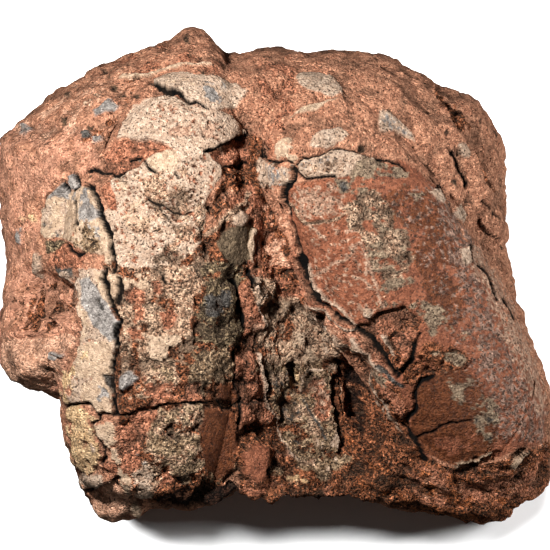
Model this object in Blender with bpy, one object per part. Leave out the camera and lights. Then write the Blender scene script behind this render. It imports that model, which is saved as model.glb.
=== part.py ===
"""A block of red sandstone with three elongated fossil eggs set in its broken upper face.

Everything is laid out in the face frame, in millimetres: U runs to the right across the broken
face, V runs up the face and D comes straight out of it.  The block lies on a flat cut underside,
so that its broken face looks up and forwards.
"""

import math
from collections import namedtuple

import bmesh
import bpy
import numpy as np

MM = 0.001
FLOOR_SIZE = 0.4  # metres, the solid that cuts the underside flat

# How the block lies
FACE_LOOKS_UP = math.radians(50.0)  # the face's normal, above the horizon
FACE_ORIGIN = (0.2, -4.3, 72.0)  # world X, Y, Z of U = V = D = 0, over the middle of the footprint
BLOCK_THICKNESS = 125.0  # from D = 0 back to the deepest point, before the underside is cut
SIGHT_DISTANCE = 1200.0  # outlines on the face hold for an eye this far out along D

# How the rock meets the eggs
POCKET_GAP = 0.3  # clearance between an egg and the rock round it
SHELL_PROUD = 6.0  # the rock keeps this far inside an egg where the egg is laid bare
ROCK_COVER = 3.0  # least rock over an egg where it is still buried
WINDOW_EDGE = 2.0  # half the width of the step between the two
RIM_WIDTH = 0.04  # share of the way in from the outline over which the eggs begin to count

# The block's outline as it shows from in front, from the right-hand side anticlockwise
OUTLINE_CENTRE = (-5.2, 2.0)
OUTLINE = [
    (94.8, 1.2), (92.0, 12.0), (92.8, 28.8), (91.6, 45.2), (89.6, 56.4), (80.8, 69.6),
    (70.0, 74.4), (62.8, 77.6), (49.2, 86.0), (27.2, 90.4), (13.2, 89.2), (4.0, 90.8),
    (-5.2, 90.8), (-14.0, 88.4), (-20.0, 88.8), (-24.8, 94.0), (-28.0, 97.6), (-36.4, 98.0),
    (-43.2, 93.6), (-52.4, 90.0), (-62.8, 86.0), (-72.4, 82.0), (-85.2, 74.0), (-96.4, 66.0),
    (-110.0, 54.0), (-110.8, 46.8), (-111.2, 36.0), (-109.2, 22.0), (-106.8, 5.2),
    (-109.2, -12.0), (-111.2, -28.0), (-109.2, -35.6), (-105.2, -42.0), (-95.2, -46.0),
    (-86.0, -49.2), (-83.0, -56.0), (-81.6, -70.0), (-79.6, -78.0),
    (-77.2, -86.0), (-74.4, -89.6), (-70.0, -97.2), (-65.2, -99.6), (-62.0, -98.0), (-54.4, -96.8),
    (-49.6, -92.8), (-34.8, -94.0), (-22.0, -89.2), (-15.6, -86.4), (-8.4, -89.2),
    (-3.6, -90.8), (3.6, -87.6), (30.8, -87.6), (42.4, -90.8), (46.8, -93.6), (60.0, -94.8),
    (74.4, -96.8), (90.8, -98.0), (98.4, -91.2), (106.4, -86.8), (111.6, -76.4),
    (112.4, -62.0), (111.2, -50.0), (108.4, -42.0), (102.0, -26.0), (96.4, -10.0),
]

# Heights of the broken face, as (U, V, D)
FACE_HEIGHTS = [
    (-8, 42, 28), (-9, 18, 28), (-8, -6, 32), (2, -20, 20), (18, -22, 19), (-10, 58, 28),
    (-10, 70, 36), (-30, 88, 38), (-50, 84, 36), (2, 84, 40), (26, 86, 42), (50, 74, 40),
    (70, 58, 36), (84, 34, 30), (90, 6, 28), (96, -22, 30), (104, -58, 34), (96, -86, 36),
    (66, -86, 38), (50, -72, 34), (44, -60, 24), (31, -46, 4), (10, -58, 2), (22, -82, 15),
    (-7, -76, 28), (-12, -58, 31), (-10, -36, 32), (24, -30, 14), (-30, -87, 30),
    (-58, -90, 34), (-72, -88, 26), (-81, -62, 12), (-94, -40, 24), (-102, -24, 28),
    (-92, -10, 20), (-100, 14, 30), (-98, 38, 32), (-85, 60, 34), (-68, 70, 36),
    (-72, 50, 34), (-84, -10, 33), (-83, -25, 33), (-91, -29, 30),
]
FACE_ROUNDING = 6  # the higher, the nearer to the rim the face begins to fall

# The depth of the rim: in the middle, more at the foot than the top, and less at the sides
RIM_DEPTH = 3.5
RIM_SLOPE = 21.5
RIM_SIDE_DIP = 13.5

# How the back falls away from the rim, rounder at the sides and at the top
BACK_SIDE_ROUNDING = 1.2
BACK_BLUNTNESS = 0.60
BACK_TOP_BLUNTNESS = 0.11
BACK_END_BLUNTNESS = 0.04
BACK_SMOOTH_FROM = 0.80  # share of the way out at which the outline's corners begin to show
BACK_SMOOTH_TURNS = np.radians(np.arange(-24.0, 25.0, 6.0))  # directions averaged over

# Broad lumps of the broken rock: height in mm, then two waves that cross, each as radians per mm
# along U, V and D and a starting angle
LUMPS = [
    (1.6, (0.11, 0.07, 0.0, 1.0), (0.0, 0.09, -0.08, 0.4)),
    (1.1, (0.21, 0.0, -0.17, 2.0), (0.12, 0.19, 0.0, 0.7)),
    (0.6, (0.36, 0.31, 0.0, 0.0), (0.0, -0.28, 0.33, 1.3)),
]
LUMPS_FADE = 3.0  # the lumps die away towards the rim at this rate
BLOCK_SUBDIVISIONS = 5

# An egg: the middle of its axis, how far its lower end leans to the right, its half sizes,
# the bluntness of its two ends, how far its upper end bends to the right, and how far its
# lower end comes forward.
Egg = namedtuple(
    "Egg",
    "middle depth lean half_length half_width half_depth upper lower bend pitch segments rings",
)
EGGS = {
    "egg_left": Egg(
        (-50.0, -3.5), 18.0, 0.0, 84.5, 36.2, 33.0, 2.3, 3.4, 18.5, 0.0, 32, 20
    ),
    "egg_right": Egg(
        (49.2, -2.0), 17.0, math.radians(30.0), 90.6, 33.5, 31.0, 2.3, 2.4, 0.0, 0.0, 32, 20
    ),
    "egg_middle": Egg(
        (5.5, -26.5), -10.5, math.radians(14.0), 58.0, 20.7, 20.0, 2.3, 3.0, 0.0, 12.0, 24, 16
    ),
}
SECTION_SQUARENESS = 2.3  # 2 makes an egg's cross-section a plain ellipse
BEND_POWER = 4  # the higher, the nearer to the upper end an egg's axis bends
FALL_BESIDE = 3.0  # how steeply the height used for the rock falls beside an egg
FALL_BEYOND = 4.0  # and beyond its ends
LONGEST_REACH = 1.3  # half lengths from an egg's middle past which that height stays the same
HEIGHT_ROUNDS = 3

# Where each egg is laid bare, as outlines on the face
WINDOWS = {
    "egg_left": [
        (-50.0, 78.0), (-38.8, 82.0), (-28.0, 83.6), (-17.2, 78.8), (-9.0, 73.2),
        (-7.0, 56.0), (-7.0, 30.0), (-9.0, 5.2), (-11.0, -10.0), (-12.0, -40.0),
        (-12.5, -62.0), (-16.0, -74.0), (-28.0, -80.0), (-40.0, -83.0), (-54.0, -81.0),
        (-66.0, -80.0), (-76.0, -79.0), (-84.0, -74.0), (-89.0, -66.0), (-89.0, -50.0),
        (-88.0, -38.8), (-86.0, -28.0), (-86.0, -15.0), (-87.0, -4.0), (-92.0, 1.2),
        (-93.2, 16.0), (-92.4, 30.0), (-85.2, 38.0), (-77.2, 41.2), (-68.8, 46.0),
        (-65.2, 56.0), (-58.0, 66.8), (-49.2, 72.4),
    ],
    "egg_right": [
        (1.0, 76.4), (14.8, 82.0), (26.0, 78.0), (32.0, 66.0), (39.0, 56.0), (49.0, 48.0),
        (60.0, 40.0), (69.0, 32.0), (77.0, 23.0), (86.0, 8.8), (94.0, -6.0), (101.0, -20.0),
        (103.0, -38.0), (102.0, -50.0), (96.0, -63.0), (88.0, -73.0), (78.0, -76.4),
        (66.0, -75.2), (52.0, -68.0), (42.0, -57.8), (30.0, -46.8), (18.0, -30.0),
        (5.0, -12.2), (-3.0, 3.2), (-8.0, 20.0), (-10.0, 34.0), (-9.0, 46.0), (-4.0, 54.0),
        (-2.0, 66.0),
    ],
    "egg_middle": [
        (-5.2, -28.0), (4.0, -24.0), (18.0, -26.0), (26.0, -34.0), (26.0, -50.0),
        (26.8, -70.0), (22.0, -81.2), (17.2, -84.0), (10.0, -79.2), (3.6, -68.4),
        (-1.2, -54.8), (-4.4, -42.0),
    ],
}

# Cracks that gape in the shells, as routes on the face
CRACK_WIDTH = 1.7
CRACK_DEPTH = 2.4
CRACK_SECTION = ((0.5, 1.0), (-0.5, 1.0), (-0.2, -1.0), (0.2, -1.0))  # shares of both
CRACKS = {
    "egg_left": [
        [
            (-74.8, 36.0), (-70.4, 30.0), (-68.8, 23.2), (-65.6, 17.2), (-65.2, 9.2),
            (-64.8, 2.8), (-67.2, -2.0), (-66.8, -7.2), (-64.0, -13.2), (-62.0, -17.6),
            (-63.6, -23.6), (-62.8, -29.2), (-64.8, -34.8), (-65.2, -41.2), (-64.4, -54.8),
        ],
        [
            (-82.0, -52.4), (-78.4, -51.2), (-74.0, -51.6), (-70.8, -56.0), (-58.4, -55.6),
            (-54.4, -54.0), (-48.4, -51.2), (-41.2, -51.6), (-30.8, -50.8), (-22.4, -50.0),
        ],
    ],
    "egg_right": [
        [
            (7.2, 42.4), (7.6, 38.8), (3.6, 35.2), (3.2, 30.8), (6.0, 23.2), (10.8, 9.6),
            (15.2, -4.4), (22.0, -13.2), (31.6, -20.8), (41.2, -28.8), (48.8, -39.2),
        ],
    ],
}

MATERIALS = {
    "matrix": ((0.42, 0.17, 0.10, 1.0), 0.95),
    "egg_left": ((0.66, 0.49, 0.34, 1.0), 0.80),
    "egg_right": ((0.36, 0.19, 0.13, 1.0), 0.75),
    "egg_middle": ((0.45, 0.36, 0.27, 1.0), 0.85),
}


def to_world(points):
    """Turn face-frame points (U, V, D) in millimetres into world points in metres."""
    u, v, depth = points[:, 0], points[:, 1], points[:, 2]
    sine, cosine = math.sin(FACE_LOOKS_UP), math.cos(FACE_LOOKS_UP)
    world = np.stack([u, v * sine - depth * cosine, v * cosine + depth * sine], axis=1)
    return (world + np.array(FACE_ORIGIN)) * MM


def signed_distance(outline, u, v):
    """Distance from each point (u, v) to a closed outline, positive inside it."""
    corners = np.array(outline)
    nearest = np.full(u.shape, 1e9)
    inside = np.zeros(u.shape, dtype=bool)
    for (u0, v0), (u1, v1) in zip(corners, np.roll(corners, -1, axis=0)):
        along = ((u - u0) * (u1 - u0) + (v - v0) * (v1 - v0)) / ((u1 - u0) ** 2 + (v1 - v0) ** 2)
        along = np.clip(along, 0.0, 1.0)
        gap = np.hypot(u - u0 - along * (u1 - u0), v - v0 - along * (v1 - v0))
        nearest = np.minimum(nearest, gap)
        if v0 != v1:
            crosses = ((v0 > v) != (v1 > v)) & (u < u0 + (v - v0) * (u1 - u0) / (v1 - v0))
            inside ^= crosses
    return np.where(inside, nearest, -nearest)


def smooth_step(value, start, end):
    """0 below start, 1 above end, and an S-curve between them."""
    share = np.clip((value - start) / (end - start), 0.0, 1.0)
    return share * share * (3.0 - 2.0 * share)


def end_taper(egg, along):
    """An egg's half width as a share of its greatest, at along = -1 (upper end) to 1 (lower)."""
    bluntness = np.where(along < 0.0, egg.upper, egg.lower)
    return np.clip(1.0 - np.abs(along) ** bluntness, 0.0, 1.0) ** (1.0 / bluntness)


def bend_offset(egg, along):
    """How far the egg's axis lies to the right of a straight one."""
    return egg.bend * ((1.0 - along) / 2.0) ** BEND_POWER


def egg_height(egg, u, v):
    """D of an egg's front over the face point (u, v), falling away steeply beside the egg."""
    height = np.full(u.shape, egg.depth + egg.half_depth)
    for _ in range(HEIGHT_ROUNDS):
        nearer = 1.0 - height / SIGHT_DISTANCE
        right, up = u * nearer - egg.middle[0], v * nearer - egg.middle[1]
        along = (right * math.sin(egg.lean) - up * math.cos(egg.lean)) / egg.half_length
        along = np.clip(along, -LONGEST_REACH, LONGEST_REACH)
        across = right * math.cos(egg.lean) + up * math.sin(egg.lean)
        across = np.abs(across - bend_offset(egg, along)) / egg.half_width
        room = end_taper(egg, along) ** SECTION_SQUARENESS - across**SECTION_SQUARENESS
        room = room - np.clip(np.abs(along) - 1.0, 0.0, None) * FALL_BEYOND
        side = np.where(room < 0.0, -FALL_BESIDE, 1.0)
        rise = np.abs(room) ** (1.0 / SECTION_SQUARENESS) * side
        height = egg.depth + egg.pitch * along + egg.half_depth * rise
        height = np.clip(height, -BLOCK_THICKNESS, None)
    return height


def face_height(u, v):
    """D of the rock between the eggs: a smooth sheet through FACE_HEIGHTS."""
    knots = np.array(FACE_HEIGHTS, dtype=float)
    spans = np.hypot(knots[:, None, 0] - knots[None, :, 0], knots[:, None, 1] - knots[None, :, 1])
    mean = knots[:, 2].mean()
    weights = np.linalg.solve(spans, knots[:, 2] - mean)
    reach = np.hypot(u[:, None] - knots[None, :, 0], v[:, None] - knots[None, :, 1])
    return mean + reach @ weights


def lumps(points):
    """Height in mm of the broad lumps at each point."""
    total = np.zeros(len(points))
    for height, first, second in LUMPS:
        crossing = [np.sin(points @ np.array(wave[:3]) + wave[3]) for wave in (first, second)]
        total += height * crossing[0] * crossing[1]
    return total


def block_points(directions):
    """Points of the block for unit directions (right, up, out).

    The direction's angle picks a place on the outline and its slant how far in from it.  The
    front sheet rises from the rim to the broken face, the back sheet falls to the block's foot.
    """
    right, up, out = directions.T
    slant = np.minimum(np.hypot(right, up), 1.0)
    angle = np.arctan2(up, right)
    rim_points = np.array(OUTLINE) - np.array(OUTLINE_CENTRE)
    rim_angles = np.arctan2(rim_points[:, 1], rim_points[:, 0])
    rim_radii = np.hypot(rim_points[:, 0], rim_points[:, 1])

    def rim_radius(at):
        return np.interp(at, rim_angles, rim_radii, period=2.0 * math.pi)

    radius = rim_radius(angle)
    smooth = np.mean([rim_radius(angle + turn) for turn in BACK_SMOOTH_TURNS], axis=0)
    smoothed = np.where(out < 0.0, 1.0 - smooth_step(slant, BACK_SMOOTH_FROM, 1.0), 0.0)
    radius = (radius + (smooth - radius) * smoothed) * slant
    u = OUTLINE_CENTRE[0] + radius * np.cos(angle)
    v = OUTLINE_CENTRE[1] + radius * np.sin(angle)
    sine, cosine = np.sin(angle), np.cos(angle)

    rim = RIM_DEPTH - RIM_SLOPE * sine - RIM_SIDE_DIP * cosine**2
    front = rim + (face_height(u, v) - rim) * np.sqrt(1.0 - slant**FACE_ROUNDING)
    rounding = 1.0 + BACK_SIDE_ROUNDING * cosine**2
    bluntness = BACK_BLUNTNESS + BACK_TOP_BLUNTNESS * sine + BACK_END_BLUNTNESS * sine**2
    back = rim - (BLOCK_THICKNESS + rim) * (1.0 - slant**rounding) ** bluntness
    broken = np.where(out >= 0.0, front, back)

    fade = np.clip(LUMPS_FADE * np.abs(out), 0.0, 1.0)
    bulge = lumps(np.stack([u, v, broken], axis=1)) * fade
    depth = broken + bulge * out
    u = u + bulge * right
    v = v + bulge * up
    from_rim = np.where(out >= 0.0, np.clip((1.0 - slant) / RIM_WIDTH, 0.0, 1.0), 0.0)
    for name, egg in EGGS.items():
        shell = egg_height(egg, u, v)
        laid_bare = smooth_step(signed_distance(WINDOWS[name], u, v), -WINDOW_EDGE, WINDOW_EDGE)
        buried = np.maximum(depth, shell + ROCK_COVER)
        core = egg._replace(
            half_length=egg.half_length - SHELL_PROUD,
            half_width=egg.half_width - SHELL_PROUD,
            half_depth=egg.half_depth - SHELL_PROUD,
        )
        bared = np.maximum(depth, egg_height(core, u, v))
        sunk = buried + (bared - buried) * laid_bare
        depth = depth + (sunk - depth) * from_rim
    nearer = 1.0 - depth / SIGHT_DISTANCE
    return np.stack([u * nearer, v * nearer, depth], axis=1)


def egg_points(egg, directions, growth=0.0):
    """Points of an egg for unit directions, whose third part runs along the egg's axis.

    The section across the axis is a squarish ellipse that tapers to both ends.
    """
    across, out, along = directions.T
    angle = np.arctan2(out, across)
    power = 2.0 / SECTION_SQUARENESS
    width = np.sign(np.cos(angle)) * np.abs(np.cos(angle)) ** power
    thickness = np.sign(np.sin(angle)) * np.abs(np.sin(angle)) ** power
    taper = end_taper(egg, along)
    side = width * taper * (egg.half_width + growth) + bend_offset(egg, along)
    forward = egg.depth + egg.pitch * along + thickness * taper * (egg.half_depth + growth)
    length = along * (egg.half_length + growth)
    u = egg.middle[0] + side * math.cos(egg.lean) + length * math.sin(egg.lean)
    v = egg.middle[1] + side * math.sin(egg.lean) - length * math.cos(egg.lean)
    return np.stack([u, v, forward], axis=1)


def sphere_mesh(name, make_sphere, shape):
    """A unit sphere whose points are moved to where shape puts their directions."""
    form = bmesh.new()
    make_sphere(form)
    directions = np.array([vertex.co[:] for vertex in form.verts])
    directions /= np.linalg.norm(directions, axis=1)[:, None]
    for vertex, place in zip(form.verts, to_world(shape(directions))):
        vertex.co = place
    mesh = bpy.data.meshes.new(name)
    form.to_mesh(mesh)
    form.free()
    return mesh


def egg_mesh(name, egg, growth=0.0):
    """An egg's mesh, grown all round by growth millimetres."""

    def make_sphere(form):
        bmesh.ops.create_uvsphere(
            form, u_segments=egg.segments, v_segments=egg.rings, radius=1.0
        )

    return sphere_mesh(name, make_sphere, lambda directions: egg_points(egg, directions, growth))


def crack_mesh(name, egg, route):
    """A wedge that follows a route over an egg: a loft of one narrow section along it."""
    corners = np.array(route)
    u, v = corners.T
    heading = np.gradient(corners, axis=0)
    heading /= np.linalg.norm(heading, axis=1)[:, None]
    left = np.stack([-heading[:, 1], heading[:, 0]], axis=1)
    surface = egg_height(egg, u, v)
    rings = []
    for side, rise in CRACK_SECTION:
        depth = surface + rise * CRACK_DEPTH
        nearer = (1.0 - depth / SIGHT_DISTANCE)[:, None]
        flat = (corners + left * side * CRACK_WIDTH) * nearer
        rings.append(to_world(np.column_stack([flat, depth])))
    form = bmesh.new()
    sections = [[form.verts.new(ring[step]) for ring in rings] for step in range(len(route))]
    for near, far in zip(sections, sections[1:]):
        for corner in range(4):
            following = (corner + 1) % 4
            form.faces.new((near[corner], near[following], far[following], far[corner]))
    form.faces.new(sections[0][::-1])
    form.faces.new(sections[-1])
    bmesh.ops.recalc_face_normals(form, faces=form.faces)
    mesh = bpy.data.meshes.new(name)
    form.to_mesh(mesh)
    form.free()
    return mesh


def stone_material(name):
    """A plain stone finish in the piece's own colour."""
    colour, roughness = MATERIALS[name]
    material = bpy.data.materials.new(name)
    material.use_nodes = True
    shader = material.node_tree.nodes["Principled BSDF"]
    shader.inputs["Base Color"].default_value = colour
    shader.inputs["Roughness"].default_value = roughness
    shader.inputs["Metallic"].default_value = 0.0
    return material


def add_cutter(target, mesh, collection):
    """Cut the shape of mesh out of target with an exact Boolean."""
    cutter = bpy.data.objects.new(mesh.name, mesh)
    cutter.hide_render = True
    cutter.display_type = "WIRE"
    collection.objects.link(cutter)
    cut = target.modifiers.new(mesh.name, "BOOLEAN")
    cut.operation = "DIFFERENCE"
    cut.solver = "EXACT"
    cut.object = cutter


def build_matrix(parts, cutters):
    """The sandstone block, with a pocket for each egg and its underside cut flat."""

    def make_sphere(form):
        bmesh.ops.create_icosphere(form, subdivisions=BLOCK_SUBDIVISIONS, radius=1.0)

    block = bpy.data.objects.new("matrix", sphere_mesh("matrix", make_sphere, block_points))
    block.data.materials.append(stone_material("matrix"))
    parts.objects.link(block)
    for name, egg in EGGS.items():
        add_cutter(block, egg_mesh(name + "_pocket", egg, POCKET_GAP), cutters)

    form = bmesh.new()
    bmesh.ops.create_cube(form, size=FLOOR_SIZE)
    bmesh.ops.translate(form, verts=form.verts, vec=(0.0, 0.0, -FLOOR_SIZE / 2.0))
    floor = bpy.data.meshes.new("underside")
    form.to_mesh(floor)
    form.free()
    add_cutter(block, floor, cutters)
    return block


def build_egg(name, egg, parts, cutters):
    """One whole egg, resting in its pocket, with the cracks that gape in its shell."""
    shell = bpy.data.objects.new(name, egg_mesh(name, egg))
    shell.data.shade_smooth()
    shell.data.materials.append(stone_material(name))
    parts.objects.link(shell)
    for number, route in enumerate(CRACKS.get(name, [])):
        add_cutter(shell, crack_mesh(f"{name}_crack_{number}", egg, route), cutters)
    return shell


def main():
    for item in list(bpy.data.objects):
        bpy.data.objects.remove(item, do_unlink=True)
    parts = bpy.data.collections.new("fossil_egg_block")
    cutters = bpy.data.collections.new("cutters")
    bpy.context.scene.collection.children.link(parts)
    bpy.context.scene.collection.children.link(cutters)
    build_matrix(parts, cutters)
    for name, egg in EGGS.items():
        build_egg(name, egg, parts, cutters)


main()
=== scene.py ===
"""The finish of a sandstone block that holds three elongated fossil eggs.

Shapes are worked out in the face frame, in millimetres: U runs to the right across the broken
face, V up it and D straight out of it.  Outlines on the face are drawn on a grid of GRID_STEP
squares, counted to the right and down from the face's upper left corner.
"""

import math
from collections import namedtuple

import bpy
import numpy as np
from mathutils import Matrix, Vector


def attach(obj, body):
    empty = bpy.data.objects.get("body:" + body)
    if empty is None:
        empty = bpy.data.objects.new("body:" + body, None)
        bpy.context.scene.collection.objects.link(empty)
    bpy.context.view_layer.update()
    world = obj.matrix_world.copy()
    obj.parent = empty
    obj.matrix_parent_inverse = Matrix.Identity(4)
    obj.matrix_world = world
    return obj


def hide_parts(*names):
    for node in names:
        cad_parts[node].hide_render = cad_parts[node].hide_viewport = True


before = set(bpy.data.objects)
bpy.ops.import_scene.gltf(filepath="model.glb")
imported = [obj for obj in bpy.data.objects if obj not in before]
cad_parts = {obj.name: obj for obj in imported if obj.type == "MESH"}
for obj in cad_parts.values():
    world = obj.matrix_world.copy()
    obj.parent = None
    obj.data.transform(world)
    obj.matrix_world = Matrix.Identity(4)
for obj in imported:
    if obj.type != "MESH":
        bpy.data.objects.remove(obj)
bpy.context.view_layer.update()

MM = 0.001
GRID_STEP = 0.4  # mm, one square of the drawing grid
GRID_MIDDLE = 275.0  # squares from the grid's corner to U = V = 0

# How the block lies, as in the solid model
FACE_LOOKS_UP = math.radians(50.0)  # the face's normal, above the horizon
FACE_ORIGIN = np.array([0.2, -4.3, 72.0])  # world X, Y, Z of U = V = D = 0
BLOCK_THICKNESS = 125.0  # from D = 0 back to the deepest point, before the underside is cut
SIGHT_DISTANCE = 1200.0  # outlines on the face hold for an eye this far out along D

# How the rock meets the eggs
LAID_BARE_DEPTH = 3.5  # the rock keeps this far inside an egg where the egg is laid bare
ROCK_COVER = 1.6  # least rock over a buried part of an egg
WINDOW_EDGE = 2.0  # half the width of the step between the two
RIM_WIDTH = 0.04  # share of the way in from the outline over which the eggs begin to count
OUT_OF_SIGHT = (1.0, 3.0)  # mm inside an egg between which the rock's skin turns smooth

# The block's outline as it shows from in front, from the right-hand side anticlockwise
OUTLINE_CENTRE = (-5.2, 2.0)
OUTLINE = [
    (94.8, 1.2), (92.0, 12.0), (92.8, 28.8), (91.6, 45.2), (89.6, 56.4), (80.8, 69.6),
    (70.0, 74.4), (62.8, 77.6), (49.2, 86.0), (27.2, 90.4), (13.2, 89.2), (4.0, 90.8),
    (-5.2, 90.8), (-14.0, 88.4), (-20.0, 88.8), (-24.8, 94.0), (-28.0, 97.6), (-36.4, 98.0),
    (-43.2, 93.6), (-52.4, 90.0), (-62.8, 86.0), (-72.4, 82.0), (-85.2, 74.0), (-96.4, 66.0),
    (-110.0, 54.0), (-110.8, 46.8), (-111.2, 36.0), (-109.2, 22.0), (-106.8, 5.2),
    (-109.2, -12.0), (-111.2, -28.0), (-109.2, -35.6), (-105.2, -42.0), (-95.2, -46.0),
    (-86.0, -49.2), (-83.0, -56.0), (-81.6, -70.0), (-79.6, -78.0), (-77.2, -86.0),
    (-74.4, -89.6), (-70.0, -97.2), (-65.2, -99.6), (-62.0, -98.0), (-54.4, -96.8),
    (-49.6, -92.8), (-34.8, -94.0), (-22.0, -89.2), (-15.6, -86.4), (-8.4, -89.2),
    (-3.6, -90.8), (3.6, -87.6), (30.8, -87.6), (42.4, -90.8), (46.8, -93.6), (60.0, -94.8),
    (74.4, -96.8), (90.8, -98.0), (98.4, -91.2), (106.4, -86.8), (111.6, -76.4),
    (112.4, -62.0), (111.2, -50.0), (108.4, -42.0), (102.0, -26.0), (96.4, -10.0),
]

# Heights of the broken face, as (U, V, D)
FACE_HEIGHTS = [
    (-8, 42, 28), (-9, 18, 28), (-8, -6, 32), (2, -20, 20), (18, -22, 19), (-10, 58, 28),
    (-10, 70, 36), (-30, 88, 38), (-50, 84, 36), (2, 84, 40), (26, 86, 42), (50, 74, 40),
    (70, 58, 36), (84, 34, 30), (90, 6, 28), (96, -22, 30), (104, -58, 34), (96, -86, 36),
    (66, -86, 38), (50, -72, 34), (44, -60, 24), (31, -46, 4), (10, -58, 2), (22, -82, 15),
    (-7, -76, 28), (-12, -58, 31), (-10, -36, 32), (24, -30, 14), (-30, -87, 30),
    (-58, -90, 34), (-72, -88, 26), (-81, -62, 12), (-94, -40, 24), (-102, -24, 28),
    (-92, -10, 20), (-100, 14, 30), (-98, 38, 32), (-85, 60, 34), (-68, 70, 36),
    (-72, 50, 34), (-84, -10, 33), (-83, -25, 33), (-91, -29, 30),
]
FACE_ROUNDING = 6  # the higher, the nearer to the rim the face begins to fall

# The depth of the rim: in the middle, more at the foot than the top, and less at the sides
RIM_DEPTH = 3.5
RIM_SLOPE = 21.5
RIM_SIDE_DIP = 13.5

# How the back falls away from the rim, rounder at the sides and at the top
BACK_SIDE_ROUNDING = 1.2
BACK_BLUNTNESS = 0.60
BACK_TOP_BLUNTNESS = 0.11
BACK_END_BLUNTNESS = 0.04
BACK_SMOOTH_FROM = 0.80  # share of the way out at which the outline's corners begin to show
BACK_SMOOTH_TURNS = np.radians(np.arange(-24.0, 25.0, 6.0))  # directions averaged over

# Broad lumps of the broken rock: height in mm, then two waves that cross, each as radians per mm
# along U, V and D and a starting angle
LUMPS = [
    (1.6, (0.11, 0.07, 0.0, 1.0), (0.0, 0.09, -0.08, 0.4)),
    (1.1, (0.21, 0.0, -0.17, 2.0), (0.12, 0.19, 0.0, 0.7)),
    (0.6, (0.36, 0.31, 0.0, 0.0), (0.0, -0.28, 0.33, 1.3)),
]
LUMPS_FADE = 3.0  # the lumps die away towards the rim at this rate

# An egg: the middle of its axis, how far its lower end leans to the right, its half sizes,
# the bluntness of its two ends, how far its upper end bends to the right, how far its lower
# end comes forward, and the columns and rings of its skin
Egg = namedtuple(
    "Egg",
    "middle depth lean half_length half_width half_depth upper lower bend pitch segments rings",
)
EGGS = {
    "egg_left": Egg(
        (-50.0, -3.5), 18.0, 0.0, 84.5, 36.2, 33.0, 2.3, 3.4, 18.5, 0.0, 250, 396
    ),
    "egg_right": Egg(
        (49.2, -2.0), 17.0, math.radians(30.0), 90.6, 33.5, 31.0, 2.3, 2.4, 0.0, 0.0, 246, 400
    ),
    "egg_middle": Egg(
        (5.5, -26.5), -10.5, math.radians(14.0), 58.0, 20.7, 20.0, 2.3, 3.0, 0.0, 12.0, 180, 300
    ),
}
SECTION_SQUARENESS = 2.3  # 2 makes an egg's cross-section a plain ellipse
BEND_POWER = 4  # the higher, the nearer to the upper end an egg's axis bends
FALL_BESIDE = 3.0  # how steeply the height used for the rock falls beside an egg
FALL_BEYOND = 4.0  # and beyond its ends
LONGEST_REACH = 1.3  # half lengths from an egg's middle past which that height stays the same
HEIGHT_ROUNDS = 3

# Where each egg is laid bare, as outlines on the face
WINDOWS = {
    "egg_left": [
        (-50.0, 78.0), (-38.8, 82.0), (-28.0, 83.6), (-17.2, 78.8), (-9.0, 73.2),
        (-7.0, 56.0), (-7.0, 30.0), (-9.0, 5.2), (-11.0, -10.0), (-12.0, -40.0),
        (-12.5, -62.0), (-16.0, -74.0), (-28.0, -80.0), (-40.0, -83.0), (-54.0, -81.0),
        (-66.0, -80.0), (-76.0, -79.0), (-84.0, -74.0), (-89.0, -66.0), (-89.0, -50.0),
        (-88.0, -38.8), (-86.0, -28.0), (-86.0, -15.0), (-87.0, -4.0), (-92.0, 1.2),
        (-93.2, 16.0), (-92.4, 30.0), (-85.2, 38.0), (-77.2, 41.2), (-68.8, 46.0),
        (-65.2, 56.0), (-58.0, 66.8), (-49.2, 72.4),
    ],
    "egg_right": [
        (1.0, 76.4), (14.8, 82.0), (26.0, 78.0), (32.0, 66.0), (39.0, 56.0), (49.0, 48.0),
        (60.0, 40.0), (69.0, 32.0), (77.0, 23.0), (86.0, 8.8), (94.0, -6.0), (101.0, -20.0),
        (103.0, -38.0), (102.0, -50.0), (96.0, -63.0), (88.0, -73.0), (78.0, -76.4),
        (66.0, -75.2), (52.0, -68.0), (42.0, -57.8), (30.0, -46.8), (18.0, -30.0),
        (5.0, -12.2), (-3.0, 3.2), (-8.0, 20.0), (-10.0, 34.0), (-9.0, 46.0), (-4.0, 54.0),
        (-2.0, 66.0),
    ],
    "egg_middle": [
        (-5.2, -28.0), (4.0, -24.0), (18.0, -26.0), (26.0, -34.0), (26.0, -50.0),
        (26.8, -70.0), (22.0, -81.2), (17.2, -84.0), (10.0, -79.2), (3.6, -68.4),
        (-1.2, -54.8), (-4.4, -42.0),
    ],
}

# The fineness of the skins
BLOCK_COLUMNS = 700
BLOCK_FRONT_ROWS = 104
BLOCK_BACK_ROWS = 36
BLOCK_TRIAL_ROWS = 240  # rows on which the part hidden by the eggs is looked for
HIDDEN_THINNING = 0.9  # share of the rows that this part does without
MIDDLE_CLOSENESS = 0.45  # how close rows lie in the face's middle, against 1 at the rim
EGG_TRIAL_STEPS = 4001
EGG_TRIAL_TURNS = 720
EGG_BACK_CLOSENESS = 0.25  # how close columns lie on an egg's back, against 1 on its front
EGG_FRONT_EDGE = (-0.7, -0.4)  # cosine of the turn between which they draw together


# ---------------------------------------------------------------- places and outlines


def to_world(points):
    """Turn face-frame points (U, V, D) in millimetres into world points in metres."""
    u, v, depth = points[..., 0], points[..., 1], points[..., 2]
    sine, cosine = math.sin(FACE_LOOKS_UP), math.cos(FACE_LOOKS_UP)
    world = np.stack([u, v * sine - depth * cosine, v * cosine + depth * sine], axis=-1)
    return (world + FACE_ORIGIN) * MM


def from_grid(route):
    """Turn grid squares (right, down) into face coordinates (U, V)."""
    squares = np.array(route, dtype=float)
    return np.stack(
        [(squares[:, 0] - GRID_MIDDLE) * GRID_STEP, (GRID_MIDDLE - squares[:, 1]) * GRID_STEP],
        axis=1,
    )


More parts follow.
